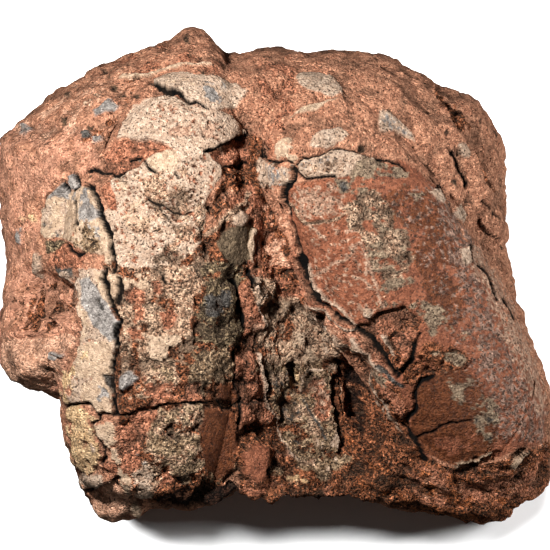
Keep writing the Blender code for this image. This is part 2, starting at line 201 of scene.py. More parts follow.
def signed_distance(corners, u, v):
    """Distance from each point (u, v) to a closed outline, positive inside it."""
    nearest = np.full(u.shape, 1e9)
    inside = np.zeros(u.shape, dtype=bool)
    for (u0, v0), (u1, v1) in zip(corners, np.roll(corners, -1, axis=0)):
        along = ((u - u0) * (u1 - u0) + (v - v0) * (v1 - v0)) / ((u1 - u0) ** 2 + (v1 - v0) ** 2)
        along = np.clip(along, 0.0, 1.0)
        gap = np.hypot(u - u0 - along * (u1 - u0), v - v0 - along * (v1 - v0))
        nearest = np.minimum(nearest, gap)
        if v0 != v1:
            crosses = ((v0 > v) != (v1 > v)) & (u < u0 + (v - v0) * (u1 - u0) / (v1 - v0))
            inside ^= crosses
    return np.where(inside, nearest, -nearest)


def smooth_step(value, start, end):
    """0 below start, 1 above end, and an S-curve between them."""
    share = np.clip((value - start) / (end - start), 0.0, 1.0)
    return share * share * (3.0 - 2.0 * share)


# ---------------------------------------------------------------- noise


def hashed(x, y, z, seed):
    """A repeatable number from 0 to 1 for each whole-numbered point."""
    key = x * 374761393 + y * 668265263 + z * 2147483647 + seed * 1442695041
    key = (key ^ (key >> 13)) & 0xFFFFFFFF
    key = (key * 1274126177) & 0xFFFFFFFF
    key = key ^ (key >> 16)
    return (key & 0xFFFFFF) / float(0xFFFFFF)


def noise(points, size, seed=0):
    """Smooth noise from -1 to 1 whose lumps are about size millimetres across."""
    place = points / size
    cell = np.floor(place).astype(np.int64)
    part = place - cell
    fade = part * part * part * (part * (part * 6.0 - 15.0) + 10.0)
    x, y, z = cell[..., 0], cell[..., 1], cell[..., 2]
    total = 0.0
    for corner in range(8):
        dx, dy, dz = corner & 1, (corner >> 1) & 1, corner >> 2
        weight = (
            (fade[..., 0] if dx else 1.0 - fade[..., 0])
            * (fade[..., 1] if dy else 1.0 - fade[..., 1])
            * (fade[..., 2] if dz else 1.0 - fade[..., 2])
        )
        total = total + weight * hashed(x + dx, y + dy, z + dz, seed)
    return total * 2.0 - 1.0


def scattered_spots(points, size, seed=0):
    """Distance in mm to the nearest of spots about size millimetres apart, the spot's own number,
    and the height in mm of blocks that meet in creases.

    Each cell of a cubic grid holds one spot at a hashed place, so the nearest is in one of the
    27 cells round a point.  A block is a plane tilted its own way about its spot and falling
    with the square of the distance, and the highest of the 27 shows.
    """
    place = points / size
    cell = np.floor(place).astype(np.int64)
    nearest = np.full(points.shape[:-1], 9.0)
    number, block = np.zeros(points.shape[:-1]), np.full(points.shape[:-1], -9.0)
    for step in range(27):
        x = cell[..., 0] + step % 3 - 1
        y = cell[..., 1] + step // 3 % 3 - 1
        z = cell[..., 2] + step // 9 - 1
        own = [hashed(x, y, z, seed + turn) for turn in range(4)]
        gap_x = x + own[0] - place[..., 0]
        gap_y = y + own[1] - place[..., 1]
        gap_z = z + own[2] - place[..., 2]
        gap = np.sqrt(gap_x**2 + gap_y**2 + gap_z**2)
        tilt = gap_x * (own[1] - 0.5) + gap_y * (own[2] - 0.5) + gap_z * (own[3] - 0.5)
        block = np.maximum(block, 0.5 * own[0] + 0.9 * tilt - 0.55 * gap**2)
        closer = gap < nearest
        nearest = np.where(closer, gap, nearest)
        number = np.where(closer, own[3], number)
    return nearest * size, number, (block - 0.25) * size


def layered_noise(points, size, layers, seed=0):
    """Noise with layers of ever finer and weaker lumps, each half the size of the last."""
    total, strength, whole = 0.0, 1.0, 0.0
    for layer in range(layers):
        total = total + strength * noise(points, size / 2.0**layer, seed + layer)
        whole += strength
        strength *= 0.55
    return total / whole


# ---------------------------------------------------------------- the forms


def end_taper(egg, along):
    """An egg's half width as a share of its greatest, at along = -1 (upper end) to 1 (lower)."""
    bluntness = np.where(along < 0.0, egg.upper, egg.lower)
    return np.clip(1.0 - np.abs(along) ** bluntness, 0.0, 1.0) ** (1.0 / bluntness)


def bend_offset(egg, along):
    """How far the egg's axis lies to the right of a straight one."""
    return egg.bend * ((1.0 - along) / 2.0) ** BEND_POWER


def egg_height(egg, u, v):
    """D of an egg's front over the face point (u, v), falling away steeply beside the egg."""
    height = np.full(u.shape, egg.depth + egg.half_depth)
    for _ in range(HEIGHT_ROUNDS):
        nearer = 1.0 - height / SIGHT_DISTANCE
        right, up = u * nearer - egg.middle[0], v * nearer - egg.middle[1]
        along = (right * math.sin(egg.lean) - up * math.cos(egg.lean)) / egg.half_length
        along = np.clip(along, -LONGEST_REACH, LONGEST_REACH)
        across = right * math.cos(egg.lean) + up * math.sin(egg.lean)
        across = np.abs(across - bend_offset(egg, along)) / egg.half_width
        room = end_taper(egg, along) ** SECTION_SQUARENESS - across**SECTION_SQUARENESS
        room = room - np.clip(np.abs(along) - 1.0, 0.0, None) * FALL_BEYOND
        side = np.where(room < 0.0, -FALL_BESIDE, 1.0)
        rise = np.abs(room) ** (1.0 / SECTION_SQUARENESS) * side
        height = egg.depth + egg.pitch * along + egg.half_depth * rise
        height = np.clip(height, -BLOCK_THICKNESS, None)
    return height


def face_height(u, v):
    """D of the rock between the eggs: a smooth sheet through FACE_HEIGHTS."""
    knots = np.array(FACE_HEIGHTS, dtype=float)
    spans = np.hypot(knots[:, None, 0] - knots[None, :, 0], knots[:, None, 1] - knots[None, :, 1])
    mean = knots[:, 2].mean()
    weights = np.linalg.solve(spans, knots[:, 2] - mean)
    total = np.full(u.shape, mean)
    for (knot_u, knot_v, _), weight in zip(knots, weights):
        total = total + weight * np.hypot(u - knot_u, v - knot_v)
    return total


def lumps(points):
    """Height in mm of the broad lumps: each is the product of two waves' sines."""
    x, y, z = points[..., 0], points[..., 1], points[..., 2]
    total = 0.0
    for height, *waves in LUMPS:
        first, second = [np.sin(a * x + b * y + c * z + start) for a, b, c, start in waves]
        total = total + height * (first * second)
    return total


def block_points(slant, angle, front):
    """The block's sheets: slant is 0 in the middle and 1 at the outline, angle goes round it.

    The front sheet rises from the rim to the broken face and dips under the laid-bare eggs;
    the back sheet falls from the rim to the block's foot.
    """
    rim_points = np.array(OUTLINE) - np.array(OUTLINE_CENTRE)
    rim_angles = np.arctan2(rim_points[:, 1], rim_points[:, 0])
    rim_radii = np.hypot(rim_points[:, 0], rim_points[:, 1])

    def rim_radius(at):
        return np.interp(at, rim_angles, rim_radii, period=2.0 * math.pi)

    radius = rim_radius(angle)
    if not front:
        smooth = np.mean([rim_radius(angle + turn) for turn in BACK_SMOOTH_TURNS], axis=0)
        radius = radius + (smooth - radius) * (1.0 - smooth_step(slant, BACK_SMOOTH_FROM, 1.0))
    radius = radius * slant
    u = OUTLINE_CENTRE[0] + radius * np.cos(angle)
    v = OUTLINE_CENTRE[1] + radius * np.sin(angle)
    sine, cosine = np.sin(angle), np.cos(angle)
    rim = RIM_DEPTH - RIM_SLOPE * sine - RIM_SIDE_DIP * cosine**2
    out = np.sqrt(np.clip(1.0 - slant**2, 0.0, 1.0)) * (1.0 if front else -1.0)
    if front:
        depth = rim + (face_height(u, v) - rim) * np.sqrt(1.0 - slant**FACE_ROUNDING)
    else:
        rounding = 1.0 + BACK_SIDE_ROUNDING * cosine**2
        bluntness = BACK_BLUNTNESS + BACK_TOP_BLUNTNESS * sine + BACK_END_BLUNTNESS * sine**2
        depth = rim - (BLOCK_THICKNESS + rim) * (1.0 - slant**rounding) ** bluntness
    bulge = lumps(np.stack([u, v, depth], axis=-1)) * np.clip(LUMPS_FADE * np.abs(out), 0.0, 1.0)
    depth = depth + bulge * out
    u = u + bulge * slant * np.cos(angle)
    v = v + bulge * slant * np.sin(angle)
    hidden = np.zeros(u.shape)
    if front:
        from_rim = np.clip((1.0 - slant) / RIM_WIDTH, 0.0, 1.0)
        for name, egg in EGGS.items():
            window = np.array(WINDOWS[name])
            laid_bare = smooth_step(signed_distance(window, u, v), -WINDOW_EDGE, WINDOW_EDGE)
            core = egg._replace(
                half_length=egg.half_length - LAID_BARE_DEPTH,
                half_width=egg.half_width - LAID_BARE_DEPTH,
                half_depth=egg.half_depth - LAID_BARE_DEPTH,
            )
            core_height = egg_height(core, u, v)
            buried = np.maximum(depth, egg_height(egg, u, v) + ROCK_COVER)
            bared = np.maximum(depth, core_height)
            sunk = buried + (bared - buried) * laid_bare
            inside = smooth_step(core_height - depth, *OUT_OF_SIGHT)
            hidden = np.maximum(hidden, laid_bare * inside)
            depth = depth + (sunk - depth) * from_rim
    nearer = 1.0 - depth / SIGHT_DISTANCE
    return np.stack([u * nearer, v * nearer, depth], axis=-1), hidden


def egg_points(egg, along, turn):
    """Points of an egg: along runs from end to end, turn goes round it from its right side.

    The section across the axis is a squarish ellipse that tapers to both ends.
    """
    power = 2.0 / SECTION_SQUARENESS
    width = np.sign(np.cos(turn)) * np.abs(np.cos(turn)) ** power
    thickness = np.sign(np.sin(turn)) * np.abs(np.sin(turn)) ** power
    taper = end_taper(egg, along)
    side = width * taper * egg.half_width + bend_offset(egg, along)
    forward = egg.depth + egg.pitch * along + thickness * taper * egg.half_depth
    length = along * egg.half_length
    u = egg.middle[0] + side * math.cos(egg.lean) + length * math.sin(egg.lean)
    v = egg.middle[1] + side * math.sin(egg.lean) - length * math.cos(egg.lean)
    return np.stack([u, v, forward], axis=-1)


def grid_normals(points):
    """Unit normals of a grid whose columns close round it, from the cross product of its ways."""
    down = np.gradient(points, axis=0)
    wrapped = np.concatenate([points[:, -1:], points, points[:, :1]], axis=1)
    round_it = wrapped[:, 2:] - wrapped[:, :-2]
    normals = np.cross(down, round_it)
    length = np.linalg.norm(normals, axis=-1, keepdims=True)
    return normals / np.maximum(length, 1e-9)


# ---------------------------------------------------------------- what the surfaces are made of

Finish = namedtuple("Finish", "light dark pits rise relief rough")
FINISHES = {
    # two sRGB tones, share of dark pits, mm proud, strength of the relief, roughness
    "rock": Finish((187, 134, 105), (158, 107, 82), 0.35, 0.0, 0.6, 0.9),
    "pale rock": Finish((207, 150, 121), (187, 130, 103), 0.3, 0.0, 0.45, 0.9),
    "crumb": Finish((174, 109, 75), (108, 62, 38), 0.95, -0.4, 1.5, 0.95),
    "bare": Finish((186, 124, 95), (144, 90, 66), 0.55, -0.3, 0.9, 0.95),
    # Pale dusty rock, used also as painted light to lighten faces turned from the lamps
    "dust and painted light": Finish((220, 170, 140), (184, 134, 106), 0.4, -0.2, 0.6, 0.95),
    "shell": Finish((188, 162, 140), (172, 143, 120), 0.5, 0.9, 0.2, 0.8),
    "clean": Finish((190, 162, 136), (170, 142, 116), 0.2, 1.0, 0.1, 0.65),
    "grey": Finish((156, 147, 139), (120, 112, 106), 0.25, 0.9, 0.25, 0.7),
    "ochre": Finish((232, 195, 150), (196, 157, 115), 0.5, 0.9, 0.45, 0.8),
    "tan": Finish((198, 164, 135), (156, 119, 94), 0.7, 0.2, 0.9, 0.9),
    "crust": Finish((178, 149, 118), (122, 95, 70), 0.9, 0.4, 0.9, 0.9),
    "olive": Finish((150, 128, 98), (98, 81, 62), 0.9, 0.2, 1.1, 0.9),
    "cast": Finish((146, 90, 65), (118, 69, 49), 0.35, 0.0, 0.12, 0.5),
    # A darker cast, darkened further as painted shade where the light falls off towards the lower right
    "dark cast and painted shade": Finish((112, 65, 40), (86, 48, 30), 0.35, 0.0, 0.15, 0.5),
    "rust": Finish((196, 118, 74), (124, 68, 38), 0.9, -0.2, 1.3, 0.95),
    "shadow": Finish((58, 36, 26), (24, 15, 11), 0.6, -0.8, 1.4, 0.95),
    # A pale film, used also as painted sheen on the right egg's right flank
    "haze and painted sheen": Finish((180, 145, 121), (146, 110, 89), 0.5, 0.05, 0.2, 0.6),
    # Painted sheen: the greyish light along the right egg's right flank, with its fine pits
    "painted sheen": Finish((156, 124, 107), (110, 82, 69), 0.7, 0.05, 0.35, 0.6),
    "dark": Finish((92, 72, 55), (50, 38, 30), 0.5, -0.8, 1.0, 0.9),
    "bloom": Finish((154, 132, 108), (118, 97, 79), 0.6, 0.3, 0.3, 0.85),
    "leaf": Finish((112, 94, 74), (80, 66, 50), 0.3, 0.2, 0.35, 0.8),
    "stain": Finish((96, 90, 84), (54, 51, 48), 0.4, 0.3, 0.6, 0.7),
    "gap": Finish((8, 6, 5), (4, 3, 2), 0.0, 0.0, 0.2, 1.0),
}
PIECE_FINISH = {
    "matrix": "rock",
    "egg_left": "rock",
    "egg_right": "rock",
    "egg_middle": "crust",
}

Form = namedtuple("Form", "lift edge outline")
FORMS = [
    # broad hollows and swellings: mm out, and mm over which each rises or falls
    Form(-5.0, 3.0, [
        (22, 282), (44, 274), (66, 284), (76, 300), (66, 318), (48, 330), (24, 334), (12, 326),
    ]),
    Form(4.0, 1.5, [(240, 452), (254, 444), (266, 450), (266, 478), (256, 486), (242, 476)]),
    Form(-6.0, 2.5, [(344, 356), (364, 356), (366, 384), (376, 408), (356, 432), (346, 408)]),
    Form(4.0, 4.0, [(228, 232), (242, 196), (258, 190), (262, 236), (254, 266), (232, 264)]),
    Form(-1.5, 0.8, [
        (103, 170), (108, 150), (118, 141), (148, 138), (168, 147), (146, 158), (138, 168),
        (112, 175),
    ]),
    Form(-2.0, 1.0, [
        (212, 154), (248, 140), (250, 156), (244, 168), (226, 172), (218, 164),
    ]),
    Form(-1.3, 0.8, [
        (360, 326), (382, 312), (405, 306), (420, 324), (414, 346), (398, 371), (380, 346),
    ]),
    Form(-1.0, 0.8, [(398, 374), (414, 358), (440, 346), (462, 362), (434, 376), (412, 384)]),
    Form(-1.5, 1.0, [(125, 344), (136, 340), (140, 384), (132, 372), (128, 362)]),
    Form(-2.0, 1.5, [(156, 300), (180, 305), (178, 332), (158, 330)]),
    Form(-1.8, 1.2, [(120, 424), (138, 412), (160, 404), (146, 436), (138, 466), (122, 466)]),
    Form(4.0, 3.0, [(300, 255), (326, 300), (318, 318), (296, 300), (282, 280), (284, 262)]),
    Form(-3.5, 2.5, [(262, 196), (282, 206), (292, 236), (276, 262), (262, 250)]),
    Form(2.0, 3.0, [(252, 282), (278, 282), (276, 300), (256, 304)]),
    Form(-1.2, 2.0, [(420, 470), (500, 486), (540, 480), (540, 500), (470, 506), (420, 496)]),
    Form(3.0, 3.0, [(362, 456), (384, 450), (404, 462), (404, 480), (380, 490), (362, 480)]),
    Form(-2.5, 3.0, [(352, 432), (392, 424), (408, 440), (390, 452), (360, 452)]),
    Form(2.0, 2.5, [(410, 470), (436, 466), (444, 480), (424, 494), (408, 488)]),
    Form(-3.0, 2.5, [(248, 424), (276, 426), (286, 440), (264, 446), (246, 442)]),
    Form(2.5, 1.8, [(238, 284), (254, 268), (264, 300), (264, 330), (247, 332), (240, 306)]),
    Form(7.0, 6.0, [(14, 352), (30, 350), (56, 346), (60, 362), (44, 378), (20, 376)]),
    Form(-2.0, 2.0, [(262, 256), (300, 262), (312, 292), (290, 300), (276, 280)]),
    Form(1.5, 2.0, [(296, 318), (326, 322), (344, 340), (334, 356), (304, 350), (290, 334)]),
    Form(3.0, 1.5, [(350, 386), (362, 384), (365, 396), (354, 401)]),
    Form(3.0, 1.5, [(348, 412), (358, 408), (362, 424), (350, 428)]),
    Form(-3.0, 1.6, [(360, 464), (372, 462), (376, 474), (366, 484), (358, 478)]),
    Form(-3.0, 1.6, [(388, 454), (402, 452), (404, 466), (392, 470)]),
    Form(2.5, 1.6, [(374, 438), (388, 434), (392, 450), (378, 454)]),
    Form(2.5, 1.6, [(404, 440), (414, 444), (412, 458), (402, 454)]),
    Form(2.5, 1.6, [(378, 474), (392, 472), (398, 486), (382, 490)]),
    Form(-2.5, 1.6, [(406, 480), (420, 478), (424, 490), (410, 494)]),
    Form(2.5, 1.6, [(436, 476), (452, 478), (454, 490), (440, 494)]),
    Form(-2.0, 1.6, [(466, 488), (482, 484), (488, 498), (470, 502)]),
    Form(-3.5, 1.5, [(288, 364), (300, 366), (303, 384), (297, 394), (290, 384)]),
]

# Routes that a ledge and a crack share
UPPER_END_BREAK = [(150, 82), (157, 86), (168, 88), (178, 91)]
SCRAP_BREAK = [(296, 170), (305, 180), (313, 179), (335, 176)]
VALLEY_UPPER_STEP = [(234, 382), (246, 385), (258, 382)]
VALLEY_LOWER_STEP = [(238, 402), (250, 404), (264, 400)]
RIGHT_EGG_BREAK = [
    (433, 377), (422, 381), (415, 389), (414, 400), (415, 407), (405, 422), (412, 435),
    (418, 445),
]

Ledge = namedtuple("Ledge", "drop reach route")
LEDGES = [
    # steps: the ground drops to the right of each route and eases back over its reach, in mm
    Ledge(1.6, 7.0, [
        (114, 412), (112, 378), (112, 368), (118, 352), (116, 334), (120, 319), (112, 307),
        (107, 286), (106, 268), (112, 252), (109, 229), (104, 220), (99, 200), (88, 185),
    ]),
    Ledge(3.5, 9.0, [(8, 334), (24, 336), (40, 335), (54, 330), (64, 320)]),
    Ledge(3.0, 7.0, [(84, 492), (96, 490), (109, 483), (122, 476)]),
    Ledge(1.6, 5.0, UPPER_END_BREAK + [(190, 102), (207, 109)]),
    Ledge(2.6, 8.0, [(200, 151), (215, 147), (225, 144), (235, 139), (250, 134)]),
    Ledge(1.0, 4.0, [(118, 139), (136, 139), (148, 137), (158, 142), (170, 147)]),
    Ledge(2.0, 6.0, RIGHT_EGG_BREAK + [(423, 462)]),
    Ledge(0.9, 5.0, [(131, 416), (146, 408), (160, 406), (184, 402), (219, 400), (235, 412)]),
    Ledge(1.6, 9.0, [
        (418, 73), (432, 84), (440, 98), (448, 114), (458, 128), (466, 140), (480, 156),
        (488, 180), (496, 194),
    ][::-1]),
    Ledge(1.2, 8.0, [(478, 216), (484, 227), (491, 233), (506, 243)]),
    Ledge(1.2, 5.0, [(456, 467), (474, 457), (492, 452), (506, 450)]),
    Ledge(1.6, 4.0, [(236, 340), (258, 352), (262, 372), (270, 402), (282, 428), (296, 460)]),
    Ledge(1.8, 4.0, VALLEY_LOWER_STEP[::-1]),
    Ledge(1.8, 4.0, VALLEY_UPPER_STEP[::-1]),
    Ledge(1.2, 5.0, [(296, 166), (304, 159), (326, 151), (340, 150), (371, 157), (405, 170)][::-1]),
    Ledge(0.9, 3.0, SCRAP_BREAK),
    Ledge(2.0, 6.0, [(340, 452), (340, 429), (335, 395), (335, 377), (340, 366), (335, 356)]),
    Ledge(1.0, 4.0, [(120, 137), (128, 116), (134, 106), (160, 97), (175, 93)]),
    Ledge(1.6, 5.0, [(86, 174), (100, 171), (114, 175), (128, 168)]),
    Ledge(1.8, 5.0, [(126, 158), (142, 157), (150, 150)]),
    Ledge(1.2, 5.0, [(62, 407), (64, 378), (78, 352), (81, 330), (80, 312), (72, 290)][::-1]),
    Ledge(1.2, 5.0, [(42, 240), (42, 210), (48, 196), (63, 182), (76, 174)][::-1]),
    Ledge(1.4, 5.0, [(236, 186), (214, 206), (208, 230), (214, 250)]),
    Ledge(2.0, 5.0, [(232, 168), (246, 160), (256, 150)]),
]

# Outlines that two patches share
MIDDLE_EGG_END = [
    (262, 300), (296, 296), (322, 320), (346, 340), (338, 372), (268, 370), (256, 340),
]
MIDDLE_EGG_BARE_SPOT = [
    (303, 378), (318, 372), (334, 376), (336, 410), (322, 424), (308, 404),
]

# A patch's cover is the share of its outline that it fills; lift is how far it stands out in mm;
# a speckled one is broken up by a finer noise than the others
Patch = namedtuple("Patch", "finish cover outline lift speckled", defaults=(0.0, False))
PATCHES = [
    # the paler rock of the left side
    Patch("pale rock", 0.75, [
        (-20, 150), (30, 120), (90, 120), (104, 170), (60, 180), (40, 200), (44, 240), (30, 262),
        (70, 290), (80, 340), (60, 400), (-20, 400),
    ]),
    Patch("crumb", 0.4, [
        (12, 300), (34, 278), (66, 280), (78, 300), (66, 322), (44, 336), (10, 340),
    ]),
    Patch("bare", 0.35, [(100, 60), (170, 40), (240, 60), (240, 90), (170, 70), (110, 100)]),
    Patch("crumb", 0.3, [(60, 100), (110, 70), (150, 74), (120, 130), (104, 150), (60, 140)]),
    Patch("bare", 0.6, [(254, 54), (298, 54), (300, 136), (256, 134)]),
    # the crumbling rock of the valley and of the foot
    Patch("crumb", 1.0, [
        (246, 130), (262, 138), (262, 190), (290, 250), (320, 330), (360, 350), (400, 390),
        (424, 455), (456, 470), (500, 460), (550, 440), (550, 525), (240, 525), (236, 300),
        (206, 240), (240, 200), (215, 165), (210, 150), (240, 138),
    ]),
    Patch("bare", 0.5, [
        (246, 180), (262, 190), (300, 262), (335, 330), (330, 360), (262, 420), (240, 430),
        (240, 280), (252, 240),
    ]),
    Patch("bare", 0.6, [
        (425, 462), (456, 470), (495, 458), (530, 450), (552, 444), (545, 480), (500, 480),
        (470, 500), (430, 500), (400, 480),
    ]),
    Patch("bare", 0.35, [(236, 430), (290, 450), (340, 480), (340, 500), (240, 500)]),
    Patch("bare", 0.9, [
        (396, 470), (430, 464), (470, 476), (520, 462), (548, 452), (545, 500), (480, 512),
        (420, 506),
    ]),
    # Painted light on the foot's lumps that face down and to the right
    Patch("dust and painted light", 0.4, [
        (396, 470), (430, 464), (470, 476), (520, 462), (548, 452), (545, 500), (420, 506),
    ]),
    Patch("rust", 0.35, [
        (340, 430), (410, 424), (424, 456), (456, 470), (500, 456), (552, 444), (545, 525),
        (340, 525),
    ]),
    Patch("crumb", 0.7, [(424, 76), (446, 92), (470, 110), (474, 140), (456, 132), (438, 104)]),
    # Painted light: the left lobe's lower face, lightened as though lit
    Patch("dust and painted light", 1.0, [
        (2, 336), (30, 340), (64, 332), (76, 338), (64, 352), (58, 384), (36, 390), (6, 376),
    ]),
    Patch("grey", 1.0, [(57, 352), (66, 353), (65, 356), (57, 356)]),
    Patch("dark", 1.0, [(50, 362), (56, 362), (56, 366), (50, 366)]),
    Patch("dust and painted light", 0.35, [(10, 130), (60, 95), (120, 62), (150, 60), (110, 110), (60, 150)]),
    # the left egg: its crumbling lower half, then what is left of the shell
    Patch("crumb", 1.0, [
        (104, 262), (210, 240), (246, 262), (240, 330), (236, 400), (240, 470), (222, 486),
        (150, 500), (120, 480), (118, 400), (104, 300),
    ]),
    Patch("bare", 0.55, [
        (120, 280), (200, 290), (196, 400), (236, 412), (232, 470), (150, 490), (124, 420),
    ]),
    Patch("tan", 0.85, [
        (104, 262), (212, 245), (204, 285), (192, 320), (196, 345), (176, 400), (150, 402),
        (122, 400), (118, 330), (104, 290),
    ]),
    Patch("tan", 0.75, [
        (150, 405), (216, 402), (218, 440), (206, 476), (183, 486), (167, 470),
        (150, 500), (132, 480), (140, 445), (150, 420),
    ]),
    Patch("crust", 0.5, [
        (150, 405), (222, 402), (236, 412), (238, 475), (222, 484), (183, 486), (167, 470),
        (150, 500), (132, 480), (140, 445), (150, 420),
    ]),
    Patch("crust", 0.5, [
        (150, 340), (238, 340), (240, 400), (200, 402), (160, 400), (150, 370),
    ]),
    Patch("olive", 0.75, [
        (200, 262), (246, 262), (242, 330), (238, 352), (192, 345), (192, 318), (204, 290),
    ]),
    Patch("crumb", 0.7, [
        (203, 345), (238, 350), (240, 400), (236, 470), (214, 484), (200, 450), (206, 400),
    ]),
    Patch("dark cast and painted shade", 1.0, [
        (205, 408), (232, 412), (238, 440), (234, 470), (214, 482), (204, 464), (200, 436),
    ]),
    Patch("shell", 1.0, [
        (112, 176), (128, 170), (146, 162), (150, 155), (165, 151), (203, 150), (212, 153),
        (222, 166), (220, 178), (210, 190), (204, 205), (206, 222), (200, 245), (180, 262),
        (150, 268), (122, 268), (114, 262), (112, 250), (108, 228), (103, 212), (114, 206),
        (106, 190),
    ]),
    Patch("tan", 0.6, [
        (176, 196), (206, 184), (214, 200), (206, 250), (186, 268), (150, 264), (166, 230),
    ]),
    Patch("crust", 0.4, [(190, 190), (214, 186), (212, 220), (206, 250), (186, 268), (184, 230)]),
    Patch("crumb", 0.55, [
        (205, 190), (222, 178), (240, 168), (252, 180), (230, 212), (214, 236), (206, 262),
        (176, 270), (180, 240), (204, 226),
    ]),
    Patch("bare", 0.2, [
        (112, 176), (128, 170), (203, 150), (222, 166), (206, 222), (200, 245), (180, 262),
        (122, 268), (108, 228), (106, 190),
    ], 0.0, True),
    Patch("clean", 1.0, [
        (148, 159), (164, 151), (173, 151), (178, 164), (171, 172), (157, 172),
    ], 0.5),
    Patch("tan", 0.4, [(112, 180), (180, 160), (214, 190), (204, 240), (122, 262)]),
    Patch("clean", 0.3, [
        (107, 186), (116, 180), (140, 180), (150, 200), (146, 224), (128, 230), (116, 214),
        (108, 196),
    ]),
    Patch("bare", 1.0, [(104, 186), (110, 180), (114, 196), (118, 208), (112, 210), (104, 196)]),
    Patch("clean", 0.8, [(116, 272), (146, 270), (150, 286), (138, 290), (124, 290), (118, 284)]),
    Patch("bare", 1.0, [(124, 291), (134, 287), (146, 293), (144, 304), (130, 304), (124, 299)]),
    Patch("bare", 0.7, [(150, 282), (160, 280), (167, 296), (164, 308), (152, 302)]),
    Patch("bare", 0.8, [(134, 304), (144, 304), (142, 326), (132, 324)]),
    Patch("bare", 1.0, [(160, 312), (172, 308), (179, 316), (173, 328), (163, 330)]),
    Patch("bare", 0.9, [(126, 329), (146, 324), (146, 338), (128, 341)]),
    Patch("crumb", 1.0, [(131, 342), (138, 342), (141, 386), (135, 382), (130, 362)], -0.4),
    Patch("bare", 0.75, [(142, 376), (168, 380), (206, 384), (204, 402), (150, 402), (140, 390)]),
    Patch("clean", 0.7, [(146, 334), (180, 332), (186, 346), (170, 366), (148, 360)]),
    Patch("tan", 1.0, [(183, 330), (194, 330), (197, 342), (194, 352), (188, 350), (184, 340)], 1.2),
    # Painted shade: darker crumb under the lip
    Patch("crumb", 1.0, [(183, 352), (196, 353), (200, 359), (188, 361)], -0.8),
    Patch("bare", 1.0, [
        (118, 424), (131, 426), (138, 412), (162, 404), (155, 419), (147, 435), (141, 444),
        (138, 465), (132, 475), (119, 475), (100, 471), (104, 460), (109, 465), (123, 465),
        (119, 448),
    ]),
    Patch("stain", 0.75, [
        (202, 295), (215, 292), (226, 290), (234, 306), (221, 320), (207, 317),
    ], 0.6),
    Patch("olive", 1.0, [(196, 328), (214, 326), (230, 328), (240, 332), (238, 345), (214, 346)], 1.2),
    Patch("crust", 0.8, [(192, 350), (232, 348), (236, 366), (234, 384), (206, 390), (192, 372)]),
    Patch("dark cast and painted shade", 0.8, [(210, 384), (236, 382), (240, 402), (224, 402), (206, 398)]),
    # the left egg's plates beside the long crack
    Patch("clean", 1.0, [
        (45, 198), (55, 190), (63, 182), (66, 183), (70, 190), (80, 190), (88, 186), (99, 201),
        (104, 220), (109, 229), (112, 250), (100, 254), (84, 250), (70, 240), (44, 236),
        (42, 210),
    ]),
    Patch("grey", 0.6, [(44, 202), (68, 198), (78, 216), (72, 240), (44, 236)]),
    Patch("shell", 0.6, [(44, 202), (68, 198), (76, 216), (72, 240), (44, 236)]),
    Patch("grey", 0.75, [(72, 192), (88, 188), (100, 204), (108, 240), (90, 246), (76, 220)]),
    Patch("clean", 0.5, [(72, 194), (80, 190), (84, 222), (96, 240), (84, 246), (76, 220)]),
    Patch("tan", 0.5, [(70, 220), (92, 218), (106, 236), (100, 252), (72, 240)]),
    Patch("grey", 1.0, [
        (46, 200), (55, 190), (63, 182), (66, 184), (70, 191), (71, 199), (58, 197),
    ], 0.5),
    Patch("clean", 1.0, [(90, 192), (95, 196), (101, 210), (97, 209), (91, 200)]),
    Patch("clean", 1.0, [(103, 248), (109, 246), (111, 258), (109, 265), (104, 262)]),
    Patch("grey", 1.0, [(65, 176), (72, 173), (77, 176), (82, 187), (78, 189), (72, 188)], 0.8),
    Patch("olive", 1.0, [(45, 239), (69, 242), (64, 251), (46, 253)]),
    Patch("stain", 0.6, [(43, 222), (60, 222), (62, 240), (44, 240)]),
    Patch("crust", 0.8, [(72, 225), (100, 225), (102, 250), (84, 254), (72, 244)]),
    Patch("bare", 1.0, [
        (64, 244), (52, 255), (46, 265), (60, 268), (80, 267), (87, 252), (80, 254), (71, 240),
    ]),
    Patch("bare", 0.9, [(73, 230), (80, 230), (80, 237), (73, 237)]),
    Patch("clean", 1.0, [(47, 228), (57, 228), (58, 236), (48, 235)]),
    Patch("shell", 1.0, [(33, 255), (42, 255), (42, 272), (38, 280), (33, 276)], 1.0),
    Patch("stain", 1.0, [(57, 268), (71, 267), (71, 277), (60, 278)], 0.8),
    Patch("shell", 0.9, [
        (62, 272), (80, 268), (104, 268), (107, 286), (112, 307), (120, 320), (118, 350),
        (112, 368), (114, 412), (98, 414), (90, 404), (65, 407), (60, 396), (64, 378),
        (78, 354), (80, 330), (80, 314), (73, 290),
    ]),
    Patch("clean", 1.0, [(96, 270), (104, 270), (112, 306), (106, 308), (98, 290)]),
    Patch("grey", 1.0, [
        (80, 280), (92, 278), (102, 296), (112, 312), (119, 322), (116, 336), (110, 343),
        (102, 336), (92, 322), (84, 302),
    ]),
    Patch("stain", 0.5, [(84, 282), (96, 286), (110, 312), (112, 330), (100, 330), (90, 304)]),
    Patch("clean", 0.6, [(78, 300), (88, 300), (92, 340), (80, 344)]),
    Patch("ochre", 0.7, [(60, 372), (76, 356), (82, 372), (76, 396), (66, 406), (60, 398)]),
    Patch("clean", 1.0, [(78, 344), (113, 342), (113, 374), (100, 378), (78, 376)]),
    Patch("ochre", 0.4, [(76, 350), (96, 346), (100, 366), (84, 374)]),
    Patch("clean", 1.0, [(82, 384), (104, 374), (112, 396), (112, 412), (98, 413), (84, 402)]),
    Patch("grey", 0.5, [(82, 384), (104, 374), (113, 398), (112, 410), (98, 412), (84, 402)]),
    Patch("ochre", 0.85, [
        (67, 406), (80, 403), (89, 405), (97, 415), (100, 419), (91, 424), (94, 435),
        (102, 445), (105, 453), (100, 467), (90, 474), (79, 472), (72, 457), (68, 448),
